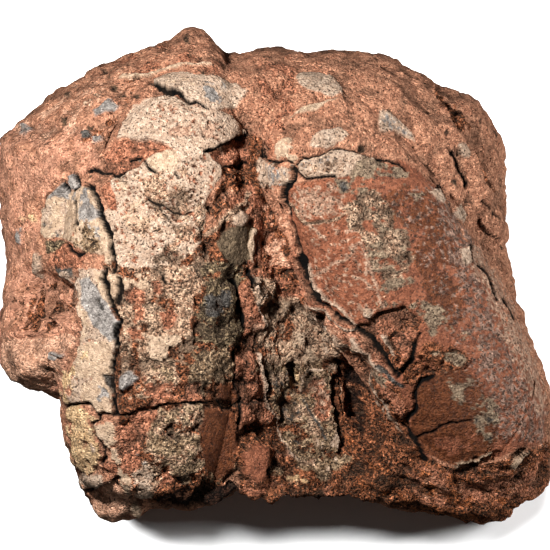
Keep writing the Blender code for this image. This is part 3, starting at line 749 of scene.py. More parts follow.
    ]),
    Patch("shell", 0.35, [(86, 408), (98, 418), (94, 436), (103, 450), (92, 462), (84, 430)]),
    Patch("clean", 0.85, [
        (91, 424), (100, 420), (115, 422), (120, 448), (122, 464), (109, 464), (104, 446),
        (94, 434),
    ]),
    Patch("grey", 0.6, [(104, 416), (128, 416), (134, 424), (126, 428), (114, 422)]),
    Patch("shell", 0.9, [(80, 474), (100, 474), (120, 477), (108, 486), (88, 490), (80, 486)]),
    Patch("dust and painted light", 1.0, [(92, 494), (120, 486), (134, 490), (130, 516), (110, 526), (96, 516)]),
    Patch("shadow", 0.75, [
        (149, 506), (163, 489), (183, 490), (220, 486), (240, 480), (238, 496), (220, 502),
        (188, 514), (166, 512),
    ]),
    Patch("clean", 1.0, [(130, 508), (135, 499), (142, 508), (139, 518), (132, 516)], 0.5),
    Patch("clean", 0.9, [(118, 466), (130, 476), (134, 492), (128, 496), (120, 484)]),
    Patch("grey", 0.6, [(136, 452), (150, 452), (154, 468), (144, 474), (136, 466)]),
    Patch("shell", 0.7, [(134, 466), (152, 460), (158, 474), (150, 500), (136, 496), (130, 476)]),
    Patch("clean", 1.0, [(109, 273), (123, 275), (123, 281), (118, 303), (110, 295)], 0.6),
    Patch("stain", 1.0, [(113, 322), (119, 322), (119, 332), (113, 332)]),
    Patch("stain", 1.0, [(101, 375), (113, 376), (114, 390), (108, 386)]),
    Patch("grey", 1.0, [
        (120, 376), (127, 370), (133, 374), (138, 380), (125, 390), (120, 388),
    ], 2.0),
    # the left egg's upper end, broken into plates
    Patch("bare", 1.0, [
        (100, 168), (107, 150), (118, 141), (148, 137), (169, 147), (162, 151), (146, 159),
        (140, 169), (128, 170), (111, 175), (102, 173),
    ]),
    Patch("shell", 1.0, [
        (118, 138), (121, 130), (127, 118), (134, 106), (143, 103), (160, 97), (168, 93),
        (175, 93), (190, 103), (205, 109), (220, 110), (232, 117), (240, 126), (249, 134),
        (240, 137), (230, 140), (225, 145), (210, 149), (203, 151), (173, 150), (169, 146),
        (155, 141), (148, 139),
    ]),
    Patch("bare", 0.15, [
        (134, 106), (168, 93), (190, 103), (232, 117), (225, 145), (155, 141),
    ], 0.0, True),
    Patch("haze and painted sheen", 0.3, [(160, 100), (190, 104), (220, 112), (230, 140), (180, 148), (160, 130)]),
    Patch("shell", 1.0, [
        (149, 83), (158, 80), (168, 76), (180, 74), (200, 75), (220, 79), (238, 85),
        (247, 90), (243, 99), (238, 107), (228, 108), (215, 110), (205, 109), (192, 103),
        (178, 92), (164, 89),
    ]),
    Patch("grey", 0.4, [(200, 76), (238, 85), (243, 100), (215, 110), (196, 100)]),
    Patch("clean", 0.5, [(156, 80), (196, 76), (200, 92), (176, 90)]),
    Patch("bare", 1.0, [
        (210, 152), (226, 146), (248, 139), (249, 155), (243, 166), (226, 170), (218, 162),
    ]),
    # the middle egg and the crust above it
    Patch("dust and painted light", 0.7, [
        (258, 300), (300, 296), (330, 306), (350, 330), (340, 368), (300, 366), (262, 350),
        (252, 330),
    ]),
    Patch("tan", 0.95, MIDDLE_EGG_END),
    Patch("clean", 0.35, MIDDLE_EGG_END),
    Patch("tan", 1.0, [(303, 336), (318, 328), (334, 334), (349, 344), (340, 357), (318, 358)], 0.4),
    Patch("shadow", 1.0, [(320, 310), (326, 312), (329, 330), (322, 328)]),
    Patch("shell", 0.35, [
        (300, 312), (318, 306), (340, 326), (349, 344), (336, 360), (316, 352),
    ]),
    Patch("ochre", 0.35, [(316, 334), (338, 336), (346, 350), (330, 358)]),
    Patch("crumb", 0.7, [(306, 282), (318, 292), (330, 318), (322, 326), (312, 306)]),
    Patch("shadow", 0.5, [(318, 300), (326, 312), (328, 326), (320, 318)]),
    Patch("bare", 1.0, [(238, 284), (250, 280), (254, 302), (260, 322), (242, 326), (236, 304)]),
    Patch("tan", 1.0, [
        (251, 281), (262, 277), (273, 281), (279, 290), (272, 300), (262, 303), (254, 300),
    ], 1.5),
    Patch("crust", 0.5, [(236, 280), (246, 284), (246, 300), (238, 304)]),
    Patch("bare", 1.0, [
        (236, 352), (254, 348), (262, 370), (267, 404), (276, 424), (250, 430), (239, 428),
        (234, 380),
    ]),
    Patch("crust", 0.5, [(248, 354), (258, 356), (260, 376), (250, 374)]),
    Patch("crumb", 1.0, [(243, 424), (276, 422), (282, 436), (262, 444), (244, 440)]),
    Patch("shadow", 0.45, [(256, 430), (276, 426), (280, 438), (262, 442)]),
    Patch("crust", 0.95, [
        (266, 366), (300, 362), (335, 356), (338, 409), (340, 454), (350, 460), (328, 480),
        (320, 484), (300, 471), (284, 444), (280, 422), (268, 400),
    ]),
    Patch("tan", 0.5, [(268, 370), (335, 360), (338, 440), (326, 476), (300, 468), (276, 410)]),
    Patch("stain", 0.3, [
        (266, 372), (286, 370), (300, 400), (310, 440), (296, 456), (280, 420), (268, 400),
    ], 0.0, True),
    Patch("bare", 0.75, MIDDLE_EGG_BARE_SPOT),
    Patch("haze and painted sheen", 0.35, MIDDLE_EGG_BARE_SPOT, 0.0, True),
    Patch("shell", 0.5, [(316, 432), (340, 432), (344, 460), (330, 478), (310, 462)]),
    Patch("shadow", 0.9, [
        (284, 367), (292, 364), (296, 368), (300, 376), (302, 390), (297, 393), (290, 382),
    ]),
    Patch("ochre", 1.0, [(294, 372), (299, 374), (298, 382), (294, 380)], 0.8),
    Patch("ochre", 0.7, [(276, 478), (298, 471), (318, 486), (315, 490), (289, 483)]),
    Patch("crust", 0.9, [(270, 464), (282, 463), (286, 473), (276, 478), (270, 474)], 0.4),
    Patch("cast", 1.0, [
        (240, 454), (254, 444), (264, 449), (264, 479), (257, 484), (243, 475),
    ]),
    Patch("shadow", 0.95, [
        (342, 358), (358, 356), (366, 372), (368, 392), (376, 408), (356, 436), (347, 406),
        (342, 378),
    ]),
    Patch("crumb", 0.35, [(344, 384), (366, 380), (374, 408), (360, 430), (348, 410)]),
    Patch("tan", 0.8, [(341, 385), (348, 386), (352, 402), (346, 402)]),
    Patch("crust", 0.8, [(336, 444), (350, 452), (352, 462), (342, 464)]),
    Patch("shadow", 0.5, [(350, 430), (404, 424), (410, 444), (384, 452), (356, 456)]),
    Patch("crumb", 0.75, [
        (366, 374), (400, 388), (406, 422), (420, 458), (400, 470), (360, 452), (362, 410),
    ]),
    Patch("shell", 0.4, [(362, 384), (372, 386), (384, 404), (392, 420), (384, 420), (368, 400)]),
    # the valley's shadowed hollow
    # Painted light in the valley's hollow
    Patch("dust and painted light", 0.3, [(254, 196), (288, 206), (302, 262), (280, 274), (258, 266)]),
    Patch("bare", 1.0, [(228, 200), (250, 180), (262, 200), (264, 262), (250, 270), (232, 262)]),
    Patch("leaf", 1.0, [
        (216, 244), (222, 234), (229, 227), (240, 222), (252, 222), (253, 236), (250, 262),
        (236, 265), (221, 258),
    ]),
    Patch("tan", 1.0, [(206, 238), (214, 226), (228, 210), (244, 198), (248, 204), (228, 222)]),
    Patch("shell", 1.0, [(229, 214), (238, 211), (241, 219), (236, 226), (229, 225)], 1.0),
    Patch("clean", 1.0, [(251, 232), (254, 232), (254, 250), (251, 264), (248, 260)], 0.3),
    # the right egg: the smooth cast and what is left of the crust
    Patch("cast", 1.0, [
        (285, 186), (335, 178), (400, 160), (440, 190), (465, 240), (495, 290), (520, 345),
        (545, 390), (548, 440), (500, 456), (456, 468), (435, 454), (422, 458), (412, 436),
        (400, 392), (380, 348), (320, 300), (300, 250), (285, 215),
    ]),
    Patch("haze and painted sheen", 0.7, [
        (284, 188), (336, 180), (350, 214), (306, 224), (296, 212),
    ], 0.0, True),
    Patch("haze and painted sheen", 0.22, [
        (300, 222), (356, 204), (380, 290), (380, 340), (320, 300), (306, 250),
    ], 0.0, True),
    Patch("dark cast and painted shade", 0.75, [
        (372, 200), (400, 180), (430, 190), (456, 230), (470, 280), (460, 330), (430, 330),
        (420, 280), (404, 232), (380, 216),
    ]),
    # Painted shade: the right egg's lower end, darkened for the light's fall-off
    Patch("dark cast and painted shade", 1.0, [
        (418, 382), (446, 360), (480, 380), (500, 430), (492, 452), (456, 466), (424, 452),
        (410, 430),
    ]),
    # Painted sheen over the right egg's middle and right flank
    Patch("painted sheen", 0.25, [
        (380, 190), (420, 180), (450, 200), (480, 260), (500, 340), (500, 440), (470, 400),
        (440, 330), (420, 270),
    ], 0.0, True),
    Patch("painted sheen", 0.6, [
        (425, 178), (450, 200), (476, 240), (505, 290), (530, 350), (552, 400), (548, 446),
        (520, 444), (496, 440), (484, 390), (470, 330), (450, 270), (436, 220),
    ], 0.0, True),
    # Painted sheen: the whitish light on the far right flank of the right egg
    Patch("haze and painted sheen", 0.75, [
        (462, 250), (478, 240), (508, 290), (534, 350), (552, 400), (540, 420), (516, 370),
        (490, 310),
    ], 0.0, True),
    Patch("bare", 0.9, [
        (290, 225), (322, 300), (378, 350), (402, 386), (404, 420), (390, 400), (350, 350),
        (314, 304), (290, 250),
    ]),
    Patch("bloom", 0.55, [(340, 330), (392, 374), (412, 392), (388, 394), (360, 366)]),
    Patch("crumb", 1.0, [
        (356, 327), (370, 316), (384, 311), (405, 306), (420, 324), (416, 346), (402, 370),
        (397, 372), (384, 354),
    ]),
    Patch("bare", 0.75, [
        (356, 327), (370, 316), (384, 311), (405, 306), (420, 324), (416, 346), (402, 370),
    ]),
    Patch("crumb", 0.85, [
        (402, 372), (414, 352), (430, 340), (450, 344), (466, 352), (478, 356), (466, 364),
        (450, 372), (420, 382), (404, 386),
    ]),
    Patch("cast", 0.8, [(448, 344), (470, 346), (478, 356), (462, 352)]),
    Patch("bloom", 0.7, [(430, 352), (444, 344), (462, 354), (476, 358), (456, 366), (440, 362)]),
    Patch("bloom", 0.65, [
        (440, 374), (456, 372), (484, 384), (500, 410), (506, 440), (490, 446), (476, 436),
        (468, 412), (450, 398),
    ]),
    Patch("stain", 0.3, [(470, 410), (500, 414), (504, 446), (484, 444), (470, 430)]),
    Patch("crumb", 0.8, [(470, 456), (496, 446), (500, 458), (478, 470), (460, 474)]),
    Patch("bloom", 0.7, [
        (334, 176), (352, 174), (372, 180), (368, 198), (350, 205), (340, 198),
    ]),
    Patch("stain", 0.5, [(340, 182), (360, 182), (362, 200), (350, 206), (340, 198)]),
    Patch("bloom", 0.65, [(344, 196), (372, 198), (404, 228), (366, 226), (350, 230)]),
    Patch("bloom", 0.95, [
        (363, 220), (386, 223), (403, 230), (416, 239), (409, 247), (410, 255), (404, 262),
        (398, 267), (410, 270), (393, 277), (376, 278), (369, 267), (363, 247), (367, 243),
        (376, 235),
    ], 0.4),
    Patch("cast", 1.0, [(379, 261), (392, 257), (397, 264), (383, 268)], -0.6),
    Patch("bloom", 0.9, [
        (347, 221), (355, 211), (363, 219), (363, 230), (360, 236), (350, 230),
    ]),
    Patch("tan", 0.5, [
        (340, 196), (372, 186), (392, 206), (404, 226), (418, 240), (414, 262), (404, 290),
        (384, 300), (372, 280), (362, 250), (350, 232),
    ]),
    Patch("bloom", 0.6, [(376, 276), (412, 272), (416, 284), (414, 298), (404, 290), (380, 296)]),
    Patch("bloom", 0.8, [
        (400, 300), (420, 298), (440, 306), (452, 320), (448, 332), (432, 336), (418, 322),
    ]),
    Patch("bloom", 0.45, [(440, 310), (474, 336), (484, 350), (470, 352), (448, 334)]),
    Patch("bloom", 0.3, [(372, 296), (410, 296), (400, 312), (370, 316)], 0.0, True),
    Patch("shell", 1.0, [(363, 308), (370, 307), (372, 313), (370, 319), (364, 317)], 0.6),
    Patch("shell", 1.0, [(381, 337), (386, 336), (392, 355), (388, 352)], 0.3),
    Patch("shell", 0.6, [(285, 180), (294, 182), (290, 188), (284, 190)], 0.3),
    Patch("shell", 0.45, [(318, 186), (335, 180), (340, 194), (329, 198), (317, 193)]),
    Patch("shell", 1.0, [
        (296, 165), (304, 158), (313, 156), (326, 150), (339, 149), (355, 152), (371, 156),
        (376, 162), (356, 170), (345, 178), (335, 176), (313, 179), (305, 180),
    ]),
    Patch("grey", 0.4, [(296, 160), (330, 152), (350, 154), (340, 172), (305, 178)], 0.0, True),
    Patch("bloom", 0.6, [(355, 152), (389, 158), (410, 170), (420, 184), (370, 182), (350, 176)]),
    Patch("bloom", 0.35, [(385, 176), (420, 180), (434, 196), (420, 206), (392, 196)]),
    Patch("shell", 0.9, [
        (258, 150), (276, 163), (293, 165), (293, 178), (284, 187), (267, 190), (257, 183),
    ]),
    Patch("grey", 0.4, [(262, 160), (290, 165), (284, 186), (268, 186)], 0.0, True),
    Patch("bare", 1.0, [(263, 143), (270, 138), (276, 150), (274, 160), (264, 157)]),
    Patch("clean", 0.95, [
        (276, 144), (282, 138), (292, 139), (296, 146), (294, 155), (302, 158), (292, 162),
        (278, 159),
    ]),
    Patch("shell", 1.0, [
        (310, 146), (313, 138), (324, 130), (341, 128), (348, 135), (343, 142), (334, 146),
        (323, 146),
    ]),
    Patch("pale rock", 0.5, [
        (318, 304), (345, 323), (385, 364), (398, 384), (380, 374), (340, 336), (320, 318),
    ]),
    Patch("cast", 0.6, [(424, 436), (472, 428), (484, 440), (470, 456), (432, 454)]),
    Patch("tan", 0.4, [(300, 160), (345, 154), (350, 174), (304, 180)], 0.0, True),
    # small pieces of shell in the rock round the eggs
    Patch("shell", 1.0, [
        (297, 79), (303, 73), (320, 72), (332, 78), (340, 87), (341, 93), (332, 97),
        (319, 93), (302, 89),
    ]),
    Patch("clean", 1.0, [
        (289, 119), (300, 110), (315, 104), (338, 99), (325, 105), (316, 111), (304, 112),
    ]),
    Patch("shell", 1.0, [
        (378, 118), (380, 112), (388, 111), (399, 119), (409, 130), (416, 142), (404, 139),
        (392, 132), (380, 130),
    ], 0.4),
    Patch("grey", 0.5, [(378, 112), (390, 110), (416, 140), (380, 130)], 0.0, True),
    Patch("shell", 1.0, [(456, 145), (461, 142), (467, 144), (471, 153), (469, 157), (461, 156)]),
    Patch("shell", 1.0, [(429, 191), (439, 189), (445, 199), (441, 203), (434, 199)]),
    Patch("shell", 1.0, [(458, 250), (469, 246), (476, 260), (469, 264), (462, 262)]),
    Patch("shell", 1.0, [(454, 209), (461, 203), (466, 216), (463, 223), (457, 220)]),
    Patch("grey", 1.0, [(94, 112), (107, 102), (119, 106), (115, 112), (98, 116)], 1.0),
    Patch("clean", 0.6, [(76, 104), (105, 91), (103, 96), (82, 106)]),
    Patch("ochre", 0.9, [(20, 218), (38, 210), (38, 223), (26, 223)], 0.6),
    Patch("grey", 0.9, [(16, 226), (23, 228), (22, 243), (17, 242)], 0.4),
    Patch("grey", 0.9, [(22, 126), (32, 126), (32, 134), (22, 134)], 0.3),
    Patch("stain", 1.0, [(80, 131), (91, 130), (92, 137), (84, 139)], 0.8),
    Patch("grey", 1.0, [(92, 137), (101, 137), (101, 142), (93, 142)], 0.4),
    Patch("dark", 1.0, [(64, 93), (70, 93), (70, 98), (64, 97)]),
    Patch("dark", 1.0, [(101, 69), (109, 71), (108, 75), (101, 73)]),
    Patch("dark", 1.0, [(60, 117), (67, 117), (66, 125), (61, 125)]),
    Patch("dark", 1.0, [(111, 84), (117, 85), (117, 89), (111, 88)]),
    Patch("dark", 1.0, [(117, 91), (123, 91), (123, 96), (117, 95)]),
    Patch("dark", 1.0, [(133, 95), (140, 96), (139, 100), (134, 99)]),
    Patch("dark", 1.0, [(87, 124), (95, 125), (94, 129), (88, 128)]),
    # Painted shade: the darker facet on the left of the top's nose
    Patch("dark", 1.0, [(184, 34), (190, 33), (189, 46), (184, 44)]),
    Patch("clean", 1.0, [(509, 465), (513, 460), (530, 450), (518, 465), (513, 469)], 0.3),
]

# A seam's half width and how far it sinks are in mm; one that sinks below 0 stands out
Seam = namedtuple("Seam", "finish half_width sink route")
SEAMS = [
    # the left egg's long crack and its branches
    Seam("gap", 0.85, 2.4, [
        (88, 185), (92, 190), (99, 200), (102, 212), (104, 220), (109, 229), (112, 240),
        (112, 252), (114, 272),
    ]),
    Seam("gap", 0.7, 2.4, [
        (106, 268), (104, 277), (107, 286), (108, 293), (112, 307), (117, 314), (120, 319),
        (116, 334), (118, 345), (118, 352), (114, 360), (112, 368), (112, 378), (113, 390),
        (115, 395), (114, 412),
    ]),
    Seam("gap", 0.45, 1.6, [
        (65, 407), (73, 405), (80, 403), (90, 404), (97, 413), (100, 419), (91, 423),
        (95, 433), (103, 443), (106, 452), (102, 460),
    ]),
    Seam("gap", 1.2, 2.4, [(104, 459), (102, 464)]),
    Seam("gap", 0.4, 1.6, [(100, 415), (115, 413), (128, 414)]),
    Seam("gap", 0.45, 1.6, [(131, 416), (138, 411), (146, 408), (154, 400)]),
    Seam("gap", 0.45, 1.6, [
        (141, 412), (152, 411), (160, 406), (170, 404), (184, 402), (198, 403), (216, 401),
        (219, 400), (227, 409), (235, 412),
    ]),
    Seam("gap", 0.8, 2.0, [(84, 492), (96, 490), (109, 483), (120, 477)]),
    Seam("gap", 0.6, 1.5, [(76, 175), (83, 187), (76, 190)]),
    Seam("gap", 0.6, 1.5, [(63, 181), (68, 187), (70, 191)]),
    Seam("gap", 0.5, 1.2, [(45, 197), (44, 206)]),
    Seam("gap", 0.3, 0.8, [(77, 203), (76, 214), (78, 225)]),
    Seam("gap", 0.5, 1.2, [(68, 242), (72, 250), (78, 255), (85, 252)]),
    Seam("gap", 0.9, 1.6, [(120, 278), (121, 290), (117, 301)]),
    # breaks of the upper end
    Seam("gap", 0.7, 1.6, UPPER_END_BREAK),
    Seam("gap", 0.25, 0.8, [(178, 91), (190, 102), (200, 104), (207, 109)]),
    Seam("gap", 0.5, 1.2, [(203, 151), (215, 147), (225, 144), (235, 139), (248, 135)]),
    Seam("gap", 0.5, 1.4, [
        (85, 174), (96, 170), (100, 172), (114, 175), (123, 172), (129, 167),
    ]),
    Seam("gap", 0.5, 1.4, [(129, 159), (133, 158), (142, 156)]),
    Seam("gap", 0.35, 1.0, [(146, 161), (150, 167), (157, 172)]),
    Seam("gap", 0.3, 0.8, [(175, 172), (178, 178)]),
    Seam("gap", 0.3, 0.7, [(150, 200), (158, 204), (162, 212), (167, 217), (171, 222)]),
    Seam("gap", 0.25, 0.6, [(158, 204), (165, 206), (175, 212), (190, 213)]),
    Seam("gap", 0.3, 0.7, [(159, 272), (165, 284)]),
    Seam("gap", 0.5, 1.0, [(230, 168), (243, 162)]),
    Seam("clean", 0.25, -0.5, [
        (122, 79), (140, 78), (157, 74), (168, 70), (180, 66), (190, 65), (210, 63),
    ]),
    # the valley
    Seam("gap", 1.0, 1.5, [(246, 265), (251, 285)]),
    Seam("gap", 0.9, 1.5, [(233, 280), (238, 306), (242, 327)]),
    Seam("gap", 0.7, 1.5, [(237, 350), (234, 362), (234, 377), (238, 394), (240, 401), (239, 428)]),
    Seam("gap", 0.8, 2.0, [(335, 360), (339, 367), (340, 375)]),
    Seam("gap", 1.3, 2.4, [(335, 377), (335, 395), (339, 410), (340, 429), (340, 452)]),
    # the right egg's main crack and its branches
    Seam("gap", 1.0, 2.4, [(293, 169), (294, 177), (290, 184), (284, 187), (283, 198)]),
    Seam("gap", 0.95, 1.8, [
        (283, 198), (290, 217), (295, 234), (302, 251), (306, 262), (312, 280),
    ]),
    Seam("shell", 0.12, -0.3, [(310, 262), (316, 281), (323, 293), (331, 300), (344, 311), (358, 325)]),
    Seam("shell", 0.12, -0.3, [(317, 302), (327, 312), (341, 324), (348, 331), (354, 331)]),
    Seam("gap", 0.95, 2.0, [(312, 280), (318, 292), (325, 302), (331, 308), (342, 318), (354, 328)]),
    Seam("gap", 1.2, 2.0, [(354, 328), (363, 335), (372, 342), (379, 352), (387, 363), (397, 375)]),
    Seam("gap", 1.2, 2.0, [(397, 374), (405, 367), (412, 359), (415, 347)]),
    Seam("gap", 0.3, 1.0, [(415, 347), (421, 334)]),
    Seam("gap", 1.0, 2.0, RIGHT_EGG_BREAK + [(423, 459)]),
    Seam("gap", 0.4, 1.0, [(416, 437), (433, 431), (451, 423), (470, 421)]),
    Seam("gap", 0.35, 1.2, [(262, 150), (263, 157), (275, 162), (291, 162)]),
    Seam("gap", 0.35, 1.0, [
        (296, 165), (304, 158), (313, 156), (326, 150), (339, 149), (355, 152), (371, 156),
        (389, 160), (405, 170),
    ]),
    Seam("gap", 0.35, 1.0, SCRAP_BREAK),
    Seam("tan", 0.55, -0.2, [(290, 202), (294, 208), (300, 216), (306, 225)]),
    Seam("tan", 0.45, -0.1, [(306, 225), (321, 223), (333, 219), (343, 215), (359, 210)]),
    Seam("haze and painted sheen", 0.35, -0.1, [(309, 227), (318, 234), (326, 240)]),
    Seam("haze and painted sheen", 0.3, -0.1, [(317, 275), (333, 266), (345, 260), (352, 255), (361, 244)]),
    Seam("haze and painted sheen", 0.3, -0.1, [(361, 244), (368, 262), (378, 290), (382, 308)]),
    Seam("haze and painted sheen", 0.3, -0.1, [(352, 276), (364, 280), (374, 290)]),
    Seam("shell", 0.6, -0.1, [(353, 340), (358, 348), (364, 355), (373, 364), (381, 371)]),
    Seam("stain", 0.6, 0.2, [(378, 366), (390, 377), (402, 386)]),
    Seam("shell", 0.25, -0.2, [(381, 337), (386, 345), (391, 354)]),
    Seam("clean", 0.15, -0.4, [
        (455, 467), (461, 462), (467, 463), (470, 459), (476, 461), (480, 455), (492, 453),
    ]),
    Seam("shell", 0.1, -0.3, [
        (258, 354), (262, 372), (267, 392), (268, 404), (276, 418), (284, 440), (290, 456),
        (297, 460),
    ]),
    Seam("gap", 0.35, 1.0, [(233, 374), (250, 384)]),
    Seam("shell", 0.15, -0.3, [(302, 392), (302, 378), (308, 372), (322, 370), (334, 366)]),
    Seam("stain", 0.2, 0.3, [(303, 396), (308, 410), (318, 424), (326, 440)]),
    Seam("shell", 0.15, -0.3, [(254, 276), (256, 300), (262, 326)]),
    Seam("shell", 0.15, -0.2, [(366, 376), (375, 391), (385, 401), (395, 422), (400, 428)]),
    Seam("tan", 0.6, -0.8, [(206, 236), (216, 226), (228, 214), (240, 203), (249, 192)]),
    Seam("shadow", 0.2, 0.5, VALLEY_UPPER_STEP),
    Seam("shadow", 0.2, 0.5, VALLEY_LOWER_STEP),
    # the rock at the right
    Seam("gap", 0.8, 1.4, [(452, 152), (459, 168), (464, 179), (465, 184), (463, 186)]),
    Seam("gap", 0.4, 1.0, [(437, 188), (441, 190), (446, 198)]),
    Seam("gap", 0.4, 1.0, [(470, 246), (475, 260)]),
    Seam("gap", 0.4, 1.0, [(481, 265), (488, 274), (493, 290), (497, 301)]),
    Seam("gap", 0.4, 1.0, [(504, 299), (510, 309), (515, 319)]),
    Seam("shadow", 0.2, 0.4, [(480, 218), (484, 227), (491, 235), (500, 240)]),
    Seam("crumb", 1.6, 0.6, [(440, 96), (450, 110), (458, 122)]),
    Seam("shadow", 0.2, 0.4, [(444, 104), (450, 110), (456, 112), (463, 112)]),
    Seam("crumb", 0.5, 0.5, [(476, 152), (483, 168), (486, 179), (495, 191)]),
    Seam("gap", 0.3, 0.8, [(481, 201), (491, 207)]),
    Seam("gap", 0.3, 0.8, [(494, 213), (500, 221)]),
    Seam("gap", 0.4, 1.0, [(377, 90), (378, 91)]),
]

NEAR_REACH = 6.0  # mm round an outline within which it is worked out
FADE_REACH = 3.0  # mm from its edge over which a patch with holes thins out
PATCH_EDGE = 0.5  # mm across which a patch's edge blends
PATCH_STEP = (-0.3, 1.2)  # mm in from its edge between which a lifted patch rises
HOLE_SPREAD = 0.9  # how far the noise's cut moves from a cover of 1 to one of 0
HOLE_EDGE = 0.1
EDGE_THINNING = 0.5  # how much sooner a hole opens at a patch's edge
FACING_OUT = (-0.05, 0.2)  # a normal's D between which a skin begins to be painted
LEDGE_SHARES = (0.8, -0.2)  # shares of a ledge's drop on its low side and on its high side
LEDGE_EDGE = 0.25
LEDGE_END = 0.15  # share of a ledge's length over which each end dies away
SEAM_LEAST = 0.15  # mm, the least half width of a seam
SEAM_WIDTH_SHARE = 0.75
SEAM_EDGE = 0.3
SEAM_WALL = 0.2
PEBBLE_SPACING = 6.5  # mm between the dark pebbles and pits of the rock
PEBBLE_SHARE = 0.3  # how many of those places hold one
PEBBLE_EDGE = 0.3


def seen_grid(points):
    """Face coordinates at which points of any depth are drawn."""
    nearer = 1.0 - points[..., 2] / SIGHT_DISTANCE
    return points[..., 0] / nearer, points[..., 1] / nearer


def near_box(route, u, v, reach):
    """Which points lie within reach of a route's own box."""
    low, high = route.min(axis=0) - reach, route.max(axis=0) + reach
    return (u > low[0]) & (u < high[0]) & (v > low[1]) & (v < high[1])


def from_line(route, u, v):
    """For each point (u, v): its distance from an open line, how far along the line it is as a
    share, and whether it lies to the right of the line."""
    nearest, share, right = np.full(u.shape, 1e9), np.zeros(u.shape), np.zeros(u.shape, dtype=bool)
    count = len(route) - 1
    for index, ((u0, v0), (u1, v1)) in enumerate(zip(route, route[1:])):
        run_u, run_v = u1 - u0, v1 - v0
        along = np.clip(((u - u0) * run_u + (v - v0) * run_v) / (run_u**2 + run_v**2), 0.0, 1.0)
        gap = np.hypot(u - u0 - along * run_u, v - v0 - along * run_v)
        closer = gap < nearest
        nearest = np.where(closer, gap, nearest)
        share = np.where(closer, (index + along) / count, share)
        right = np.where(closer, run_u * (v - v0) < run_v * (u - u0), right)
    return nearest, share, right


def wander(points, seed):
    """How far in mm an outline strays at each point, from a broad and a fine noise."""
    return 0.8 * noise(points, 6.0, seed) + 0.5 * noise(points, 2.2, seed + 1)


def paint(points, normals, piece):
    """The share of each finish at every point, and how far each point stands out, in mm.

    Patches are laid over the piece's own finish one after another, each cutting back what is
    there by its own share; a cover below 1 leaves holes where a noise is low.  Seams come last.
    Only the side that faces out is painted.
    """
    faces_out = smooth_step(normals[..., 2], *FACING_OUT)
    u, v = seen_grid(points)
    u, v = u + wander(points, 31), v + wander(points, 33)
    mottle = 1.2 * layered_noise(points, 5.0, 4, 35) + 0.25 * noise(points, 1.1, 39)
    speckle = 0.5 * noise(points, 1.3, 41) + 0.45 * noise(points, 0.8, 42) + 0.2 * mottle
    shares = {name: np.zeros(u.shape) for name in FINISHES}
    shares[PIECE_FINISH[piece]] += 1.0
    lift = np.zeros(u.shape)

    def lay(finish, where, share):
        for name in shares:
            shares[name][where] *= 1.0 - share
        shares[finish][where] += share

    for form in FORMS:
        outline = from_grid(form.outline)
        where = near_box(outline, u, v, NEAR_REACH) & (faces_out > 0.0)
        inside = signed_distance(outline, u[where], v[where])
        lift[where] += form.lift * smooth_step(inside, -form.edge, form.edge)
    for ledge in LEDGES:
        route = from_grid(ledge.route)
        where = near_box(route, u, v, ledge.reach) & (faces_out > 0.0)
        distance, share, right = from_line(route, u[where], v[where])
        ends = smooth_step(np.minimum(share, 1.0 - share), 0.0, LEDGE_END)
        fall = ledge.drop * ends * smooth_step(distance, ledge.reach, 0.0)
        lift[where] -= fall * np.where(right, *LEDGE_SHARES) * smooth_step(distance, 0.0, LEDGE_EDGE)
    for patch in PATCHES:
        outline = from_grid(patch.outline)
        where = near_box(outline, u, v, NEAR_REACH) & (faces_out > 0.0)
        inside = signed_distance(outline, u[where], v[where])
        field = inside / PATCH_EDGE
        if patch.cover < 1.0:
            thinning = smooth_step(inside, FADE_REACH, -PATCH_EDGE)
            level = (0.5 - patch.cover) * HOLE_SPREAD + EDGE_THINNING * thinning
            holes = speckle if patch.speckled else mottle
            field = np.minimum(field, (holes[where] - level) / HOLE_EDGE)
        lay(patch.finish, where, smooth_step(field, -0.5, 0.5) * faces_out[where])
        lift[where] += patch.lift * smooth_step(inside, *PATCH_STEP)
    for seam in SEAMS:
        route = from_grid(seam.route)
        where = near_box(route, u, v, NEAR_REACH) & (faces_out > 0.0)
        distance = from_line(route, u[where], v[where])[0]
        unevenness = np.clip(1.0 + 0.8 * mottle[where], 0.75, 1.5)
        width = SEAM_LEAST + SEAM_WIDTH_SHARE * seam.half_width * unevenness
        lay(seam.finish, where, smooth_step(distance, width + SEAM_EDGE, width) * faces_out[where])
        lift[where] -= smooth_step(distance, width + SEAM_WALL, width - SEAM_WALL) * seam.sink
    distance, number, _ = scattered_spots(points, PEBBLE_SPACING, 51)
    reach = 0.5 + 1.6 * hashed((number * 9973.0).astype(np.int64), 1, 2, 3)
    ragged = distance + 0.5 * noise(points, 1.6, 55)
    pit = smooth_step(ragged, reach + PEBBLE_EDGE, reach - PEBBLE_EDGE)
    share = pit * (number < PEBBLE_SHARE) * (shares["rock"] + shares["crumb"] + shares["bare"])
    lay("dark", slice(None), share * faces_out)
    return shares, lift * faces_out


def linear(colour):
    """Turn an sRGB colour, 0 to 255, into linear light."""
    level = np.array(colour) / 255.0
    return np.where(level <= 0.04045, level / 12.92, ((level + 0.055) / 1.055) ** 2.4)


def relief(points):
    """Height in mm of the broken surface's roughness, before a finish weakens it."""
    shaken = points + 0.8 * noise(points, 2.5, 61)[..., None]
    broad = 1.3 * layered_noise(points, 11.0, 3, 11)
    blocks = scattered_spots(shaken, 7.0, 62)[2] + 0.9 * scattered_spots(shaken, 3.2, 67)[2]
    bits = noise(points, 1.7, 15)
    return broad + 0.8 * blocks + 0.35 * (0.8 - 2.0 * np.abs(bits))


